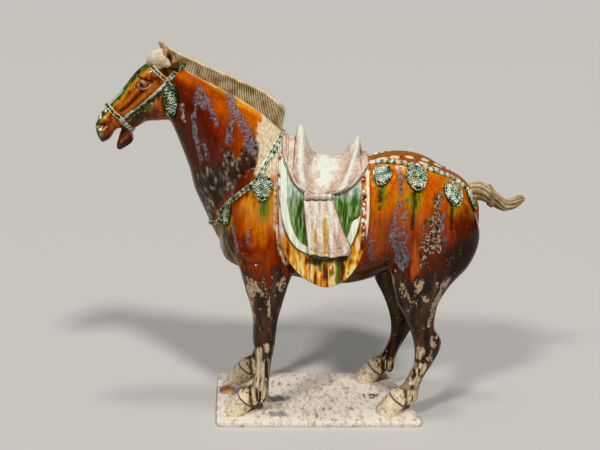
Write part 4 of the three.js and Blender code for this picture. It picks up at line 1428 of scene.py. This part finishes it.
def paint_face_front(coat, head):
    """Green down the forehead and nose, with a honey edge and a painted highlight along the bridge, speckled
    with white below the noseband.
    """
    front = line_distance(coat.flat, FACE_FRONT)
    run = coat.grain((5, 5, 16), 51) - 0.5
    coat.lay(HONEY, 0.9 * head * smooth_step(front + 5 * run, 17, 12))
    speckle = coat.grains((0.6, (3.4, 3.4, 7), 52), (0.4, 9, 53))
    fine = 1.5 * (coat.grain((3, 3, 4), 54) - 0.5)
    below_band = smooth_step(coat.x, -338, -344)
    greens = ramp(speckle + below_band * (0.08 + fine), FACE_GREENS)
    coat.lay(greens, head * smooth_step(front + 4 * run, 12, 8))
    # A painted highlight along the bridge of the nose.
    coat.lay(PALE_GREEN, 0.85 * head * coat.stroke(NOSE_HIGHLIGHT, 4, 0.4))


def paint_ears(coat):
    """Unglazed ears, with painted shade in their hollows, and painted shade over the poll behind them."""
    x, z = coat.x, coat.z
    side = smooth_step(np.abs(coat.y), 11, 14) * smooth_step(x, -262, -257)
    ear_share = smooth_step(z - 0.4 * (x + 230), 616, 620) * side
    coat.lay(srgb(168, 138, 104), ear_share)
    # Painted shade in the ear's hollow.
    coat.lay(UMBER, ear_share * coat.blot((-234, 628), (7, 15)))
    deepen(coat.clay, ear_share)
    # Painted shade over the poll, behind the ears and under the forelock.
    poll = smooth_step(x, -240, -233) * smooth_step(x, -204, -212) * smooth_step(z, 603, 609)
    coat.lay(srgb(72, 48, 32), 0.95 * poll * (1 - ear_share))


def paint_head(coat):
    """Amber face with dark creases, green in front, a pale eye, and painted shade in the mouth, under the
    jaw, under the forelock and behind the eye.
    """
    head = smooth_step(coat.x, -226, -240) * smooth_step(coat.z, 455, 470)
    coat.lay(ramp(coat.grain((4, 4, 16), 51), FACE_AMBERS), head)
    # Painted shade under the jaw.
    coat.lay(srgb(54, 40, 24), 0.9 * head * coat.zone(JAW_SHADE, 6))
    paint_face_front(coat, head)
    coat.lay(CHOCOLATE, 0.9 * head * smooth_step(coat.z, 506, 490))
    coat.lay_all(FACE_MARKS, head)
    speck = coat.patches((2.6, 2.6, 3.4), 56, 0.6, 0.74)
    coat.lay(PALE_GREEN, 0.5 * head * speck * coat.stroke(UNDER_STRAP, 6, 1.2))
    for line, reach, rise in FACE_LINES:
        along = head * bell(line_distance(coat.flat, line), 1.2 * reach)
        if rise < -2:
            coat.lay(srgb(52, 20, 8), 0.95 * along)
        elif reach >= 3 and rise > 0:
            coat.lay(srgb(196, 104, 24), 0.75 * along)
    coat.lay_all(EYE_MARKS + NOSTRIL_MARKS, head)
    paint_ears(coat)


def paint_body(piece, material):
    coat = Coat(piece, AMBER)
    paint_glaze_run(coat)
    paint_withers(coat)
    paint_bare_legs(coat)
    paint_charcoal(coat)
    paint_drips(coat)
    paint_spots(coat)
    paint_clouds(coat)
    paint_flakes(coat)
    paint_hooves(coat)
    paint_head(coat)
    # Painted shade in the grooves and creases.
    coat.lay(SOOT_AND_SHADE, 0.5 * coat.hollows())
    coat.store(material)


def paint_blanket(coat):
    """Golden drips under the panel, and a dotted amber strip along the back edge."""
    x, z = coat.x, coat.z
    blotch = coat.grain((6, 9, 9), 65)
    drips = coat.grains((0.5, (5, 9, 40), 61), (0.3, (2.6, 9, 12), 62)) + 0.2 * blotch
    coat.colour = ramp(drips, BLANKET_DRIPS)
    for line, half in BLANKET_RUNS:
        coat.lay(GREEN, 0.9 * coat.stroke(line, half))
    hem = inside_distance(coat.flat, sky_outline(BLANKET_HEM))
    # Painted shade along the blanket's lower edge.
    coat.lay(RUSSET, 0.85 * smooth_step(hem, 2.6, 0.8) * smooth_step(z, 330, 312))
    upper = smooth_step(z, 330, 350)
    strip = smooth_step(x, 80, 82) * upper
    coat.lay(ramp(blotch, STRIP_AMBERS), strip)
    coat.lay(WHITE, strip * coat.patches((3.4, 9, 3.4), 64, 0.58, 0.68))
    coat.lay(PALE_CLAY, smooth_step(x, 89, 90.5) * upper)
    fringe = smooth_step(x, -40, -47) * smooth_step(z + 30 * coat.ragged, 330, 350)
    coat.lay(ramp(blotch, FRINGE_CLAYS), fringe)


def paint_panel(coat):
    """A pale border round a field of streaky green that pales towards the saddle."""
    panel = inside_distance(coat.flat, sky_outline(PANEL_HEM))
    run = coat.grain((3.2, 9, 26), 66)
    grass = ramp(0.45 * run + 0.55 * coat.grain((1.9, 9, 9), 67), PANEL_GREENS)
    pale = 0.85 * smooth_step(coat.z + 26 * (run - 0.5), 392, 424)
    grass += (srgb(190, 206, 194) - grass) * pale[:, None]
    coat.lay(srgb(232, 244, 222), stepped(panel))
    coat.lay(grass, smooth_step(panel - panel_border(coat.flat), -1, 1))
    # A painted shadow just outside the panel's lower edge.
    coat.lay(RUSSET, 0.85 * bell(panel + 1.4, 1.8) * smooth_step(coat.z, 390, 350))


def paint_clay_seat(coat, mottle):
    """Bare clay, mottled and dusted, with a painted highlight along its rolls and rims and painted shade in
    the creases beside the rolls.
    """
    roll = tones_of(coat.mesh)
    dusted = coat.blot((22, 444), (26, 34)) * smooth_step(mottle, 0.3, 0.46)
    coat.lay(CLAY, coat.clay)
    coat.lay(srgb(200, 174, 154), 0.6 * coat.clay * smooth_step(mottle, 0.48, 0.32))
    coat.lay(PALE_CLAY, 0.9 * coat.clay * smooth_step(mottle, 0.52, 0.7))
    coat.lay(srgb(232, 240, 226), 0.9 * coat.clay * dusted)
    # A painted highlight along the rolls and the tops of the rims, and painted shade in the creases beside
    # the rolls.
    coat.lay(WHITE, 0.7 * coat.clay * smooth_step(roll, 0.3, 0.9))
    coat.lay(srgb(168, 140, 120), 0.35 * coat.clay * smooth_step(roll, -0.15, -0.5))


def paint_saddle(piece, material):
    coat = Coat(piece, CLAY)
    paint_blanket(coat)
    paint_panel(coat)
    skirt = inside_distance(coat.flat, sky_outline(SKIRT_HEM))
    cloth = np.maximum(stepped(inside_distance(coat.flat, CLOTH)), knot_height(coat.flat) > 12)
    front = smooth_step(coat.z, 486, 492) * smooth_step(coat.x, -20, -24)
    # A painted shadow just below the skirt's hem.
    coat.lay(UMBER, 0.9 * bell(skirt + 1.4, 1.4) * (1 - front))
    coat.clay = np.maximum(np.maximum(stepped(skirt), cloth), front)
    coat.lay(SOOT_AND_SHADE, 0.9 * coat.zone(CLOTH_SHADE, 3) * (1 - coat.clay))
    mottle = coat.grains((0.65, 11, 63), (0.35, 3.6, 68))
    paint_clay_seat(coat, mottle)
    # A painted shadow under the knot's band.
    knot_shadow = [(KNOT[end], KNOT["low"] - 1.5) for end in ("left", "right")]
    coat.lay(UMBER, 0.9 * coat.stroke(knot_shadow, 1.8))
    # Painted highlights streaked down the cloth's fall.
    coat.lay(WHITE, 0.8 * cloth * coat.patches((4, 9, 60), 69, 0.5, 0.7))
    for line, half in CLOTH_STAINS:
        stain = coat.stroke(line, half) * coat.clay * smooth_step(mottle, 0.3, 0.5)
        coat.lay(srgb(204, 156, 40), 0.85 * stain)
    # Painted shade in the hollows.
    coat.lay(DUST_AND_SHADE, 0.9 * coat.hollows())
    coat.store(material)


def paint_harness(piece, material):
    """Green glaze in the hollows, worn to white on the curls, beads and edges."""
    coat = Coat(piece, GREEN)
    dab = coat.grains((1, 6, 71), (0.5, 2.4, 73)) - 0.75
    coat.colour = ramp(0.95 * tones_of(coat.mesh) + 0.8 * dab, HARNESS_GREENS)
    coat.lay(srgb(50, 50, 20), 0.6 * coat.blot(CHEST_BOSS, (11, 24)))
    coat.lay(OCHRE, 0.6 * coat.patches(8, 72, 0.76, 0.86))
    coat.store(material)


def paint_hair(piece, material, ground, pale):
    """Unglazed hair, with painted shade in its grooves and creases, and paler where it faces up."""
    coat = Coat(piece, ground)
    grime = coat.grain(10, 81)
    coat.lay(pale, 0.8 * smooth_step(grime, 0.4, 0.75))
    coat.lay(DUST_AND_SHADE, 0.5 * smooth_step(grime, 0.42, 0.22))
    coat.lay(pale, 0.9 * smooth_step(coat.normals[:, 2], 0.6, 0.9))
    # Painted shade in the cuts between the hairs and in the creases.
    coat.lay(srgb(40, 30, 22), 0.95 * np.maximum(tones_of(coat.mesh) ** 1.3, 0.8 * coat.hollows()))
    coat.clay[:] = 1
    coat.store(material)


def paint_slab(piece, material):
    """Pale pinkish clay with specks of dirt, painted shadows around the forelegs, and splashes of glaze that
    ran off the hooves.
    """
    coat = Coat(piece, srgb(238, 228, 216))
    coat.flat = coat.points[:, :2]
    speck = coat.grains((0.5, (6, 14, 9), 94), (0.5, (3, 7, 3.5), 92))
    coat.lay(PALE_CLAY, coat.patches(30, 91, 0.35, 0.65))
    coat.lay(srgb(204, 186, 170), 0.8 * smooth_step(speck, 0.5, 0.64))
    coat.lay(srgb(130, 108, 92), 0.7 * smooth_step(speck, 0.7, 0.8))
    coat.lay_all(SLAB_SHADOWS_AND_SPLASHES)
    coat.lay(SOOT_AND_SHADE, 0.8 * coat.blot((105, -4), (30, 14)) * smooth_step(speck, 0.45, 0.6))
    coat.clay[:] = 1
    coat.store(material)


class Nodes:
    """Adds nodes to one material; an input is given as a number, a colour or another node's output."""

    def __init__(self, material):
        self.tree = material.node_tree

    def feed(self, socket, value):
        if isinstance(value, bpy.types.NodeSocket):
            self.tree.links.new(value, socket)
        else:
            socket.default_value = value

    def add(self, kind, inputs, **settings):
        made = self.tree.nodes.new(kind)
        for name, value in settings.items():
            setattr(made, name, value)
        for name, value in inputs.items():
            self.feed(made.inputs[name], value)
        return made

    def noise(self, place, scale, detail):
        inputs = {"Vector": place, "Scale": scale, "Detail": detail}
        return self.add("ShaderNodeTexNoise", inputs).outputs["Fac"]

    def stretched(self, place, scale, detail):
        drawn = self.add("ShaderNodeMapping", {"Vector": place, "Scale": scale}).outputs["Vector"]
        return self.noise(drawn, 1, detail)

    def painted(self, name, output):
        return self.add("ShaderNodeAttribute", {}, attribute_name=name).outputs[output]

    def maths(self, operation, first, second):
        return self.add("ShaderNodeMath", {0: first, 1: second}, operation=operation).outputs[0]

    def times(self, first, second):
        return self.maths("MULTIPLY", first, second)

    def spread(self, value, low, high, start=0.0, end=1.0):
        inputs = {"Value": value, "From Min": low, "From Max": high, "To Min": start, "To Max": end}
        return self.add("ShaderNodeMapRange", inputs, interpolation_type="SMOOTHSTEP").outputs["Result"]

    def mix(self, share, first, second):
        """Mixes two colours."""
        return self.add("ShaderNodeMix", {"Factor": share, 6: first, 7: second}, data_type="RGBA").outputs[2]

    def blend(self, share, first, second):
        """Mixes two numbers."""
        return self.add("ShaderNodeMix", {"Factor": share, 2: first, 3: second}).outputs[0]

    def scaled(self, colour, factor):
        return self.add("ShaderNodeVectorMath", {0: colour, "Scale": factor}, operation="SCALE").outputs[0]


def ragged_mark(nodes, mark, grain, push, soft):
    """Turns a painted mark into one with a broken edge and holes; soft is how far its edge fades."""
    broken = nodes.maths("ADD", mark, nodes.times(nodes.maths("SUBTRACT", grain, 0.5), push))
    return nodes.spread(broken, 0.5 - soft, 0.5 + soft)


def sancai_material():
    """Runny lead glaze over pale clay, clouded and flaked in places, and bare clay where none was laid."""
    made = bpy.data.materials.new("sancai_glaze")
    made.use_nodes = True
    nodes = Nodes(made)
    place = nodes.add("ShaderNodeTexCoord", {}).outputs["Object"]
    glaze_colour = nodes.painted("glaze", "Color")
    marks = nodes.add("ShaderNodeSeparateXYZ", {"Vector": nodes.painted("wear", "Vector")}).outputs
    streak = nodes.stretched(place, (340, 340, 28), 4)
    feather = nodes.stretched(place, (320, 320, 60), 6)
    grain = nodes.noise(place, 260, 6)
    grit = nodes.noise(place, 900, 3)
    patch = nodes.noise(place, 70, 4)

    run = nodes.scaled(glaze_colour, nodes.spread(streak, 0.25, 0.75, 0.68, 1.28))
    cloud = ragged_mark(nodes, marks["X"], feather, 1.5, 0.5)
    cloudy = nodes.mix(nodes.spread(grain, 0.32, 0.68), (*LILAC_DARK, 1), (*LILAC_PALE, 1))
    colour = nodes.mix(nodes.times(cloud, 0.86), run, cloudy)
    flake = ragged_mark(nodes, marks["Y"], grain, 2.0, 0.22)
    beige = nodes.mix(nodes.spread(grit, 0.3, 0.7), (*BARE_DARK, 1), (*BARE_PALE, 1))
    colour = nodes.mix(flake, colour, beige)
    worn = nodes.scaled(glaze_colour, nodes.spread(grain, 0.3, 0.7, 0.78, 1.12))
    colour = nodes.mix(marks["Z"], colour, worn)

    matt = nodes.maths("MAXIMUM", flake, marks["Z"])
    shine = nodes.blend(cloud, nodes.spread(grain, 0.3, 0.7, 0.1, 0.2), CLOUD_ROUGH)
    rough = nodes.blend(matt, shine, CLAY_ROUGH)

    peel = nodes.maths("ADD", nodes.times(patch, 0.35), nodes.times(grain, 0.12))
    relief = nodes.blend(matt, peel, nodes.times(grit, 0.5))
    relief = nodes.maths("SUBTRACT", relief, nodes.times(flake, 0.3))
    bump = nodes.add("ShaderNodeBump", {"Height": relief, "Strength": BUMP_STRENGTH, "Distance": BUMP_DEEP})

    shader = made.node_tree.nodes["Principled BSDF"]
    shader.inputs["IOR"].default_value = GLAZE_IOR
    nodes.feed(shader.inputs["Base Color"], colour)
    nodes.feed(shader.inputs["Roughness"], rough)
    nodes.feed(shader.inputs["Normal"], bump.outputs["Normal"])
    return made


def stage():
    floor = bpy.data.meshes.new("floor")
    corners = [(-1, -1), (1, -1), (1, 1), (-1, 1)]
    floor.from_pydata([(FLOOR_REACH * x, FLOOR_REACH * y, 0) for x, y in corners], [], [(0, 1, 2, 3)])
    made = linked("floor", floor)
    pale = bpy.data.materials.new("pale_floor")
    pale.use_nodes = True
    shader = pale.node_tree.nodes["Principled BSDF"]
    shader.inputs["Base Color"].default_value = FLOOR_COLOUR
    shader.inputs["Roughness"].default_value = FLOOR_ROUGH
    floor.materials.append(pale)


def lights():
    """A key light from high on the right, and weaker ones from the left and overhead."""
    for name, place, strength, mirrored in LIGHTS:
        light = bpy.data.lights.new(name, "SUN")
        light.energy = strength
        light.angle = math.radians(SUN_WIDTH)
        light.color = LIGHT_COLOUR
        made = linked(name, light)
        made.location = place
        made.rotation_euler = (Vector(LIGHT_AIM) - Vector(place)).to_track_quat("-Z", "Y").to_euler()
        made.visible_glossy = mirrored


def world():
    made = bpy.data.worlds.new("studio")
    made.use_nodes = True
    background = made.node_tree.nodes["Background"]
    background.inputs["Color"].default_value = WORLD_COLOUR
    background.inputs["Strength"].default_value = WORLD_STRENGTH
    bpy.context.scene.world = made
    # This view shows each surface in its own colour.
    bpy.context.scene.view_settings.view_transform = "Khronos PBR Neutral"


def camera():
    data = bpy.data.cameras.new("camera")
    data.sensor_width = CAMERA_SENSOR
    data.lens = CAMERA_LENS
    made = linked("camera", data)
    made.location = CAMERA_PLACE
    made.rotation_euler = (math.pi / 2 - math.atan(CAMERA_DROP), 0, 0)
    bpy.context.scene.camera = made


body = horse_body()
saddle_piece = saddle()
mane_piece = mane()
harness_piece = harness(surface_finder([body, saddle_piece, mane_piece]))
glaze = sancai_material()
paint_body(body, glaze)
paint_saddle(saddle_piece, glaze)
paint_harness(harness_piece, glaze)
pieces = [body, saddle_piece, harness_piece]
hair = [
    (mane_piece, srgb(206, 182, 142), srgb(236, 218, 186)),
    (forelock(), srgb(216, 198, 168), srgb(238, 226, 200)),
    (tail(), srgb(160, 138, 108), srgb(196, 174, 142)),
]
for piece, ground, pale in hair:
    paint_hair(piece, glaze, ground, pale)
    pieces.append(piece)
slab_piece = slab()
paint_slab(slab_piece, glaze)
pieces.append(slab_piece)
for piece in pieces:
    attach(piece, "root")
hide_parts("sancai_horse")

stage()
lights()
world()
camera()
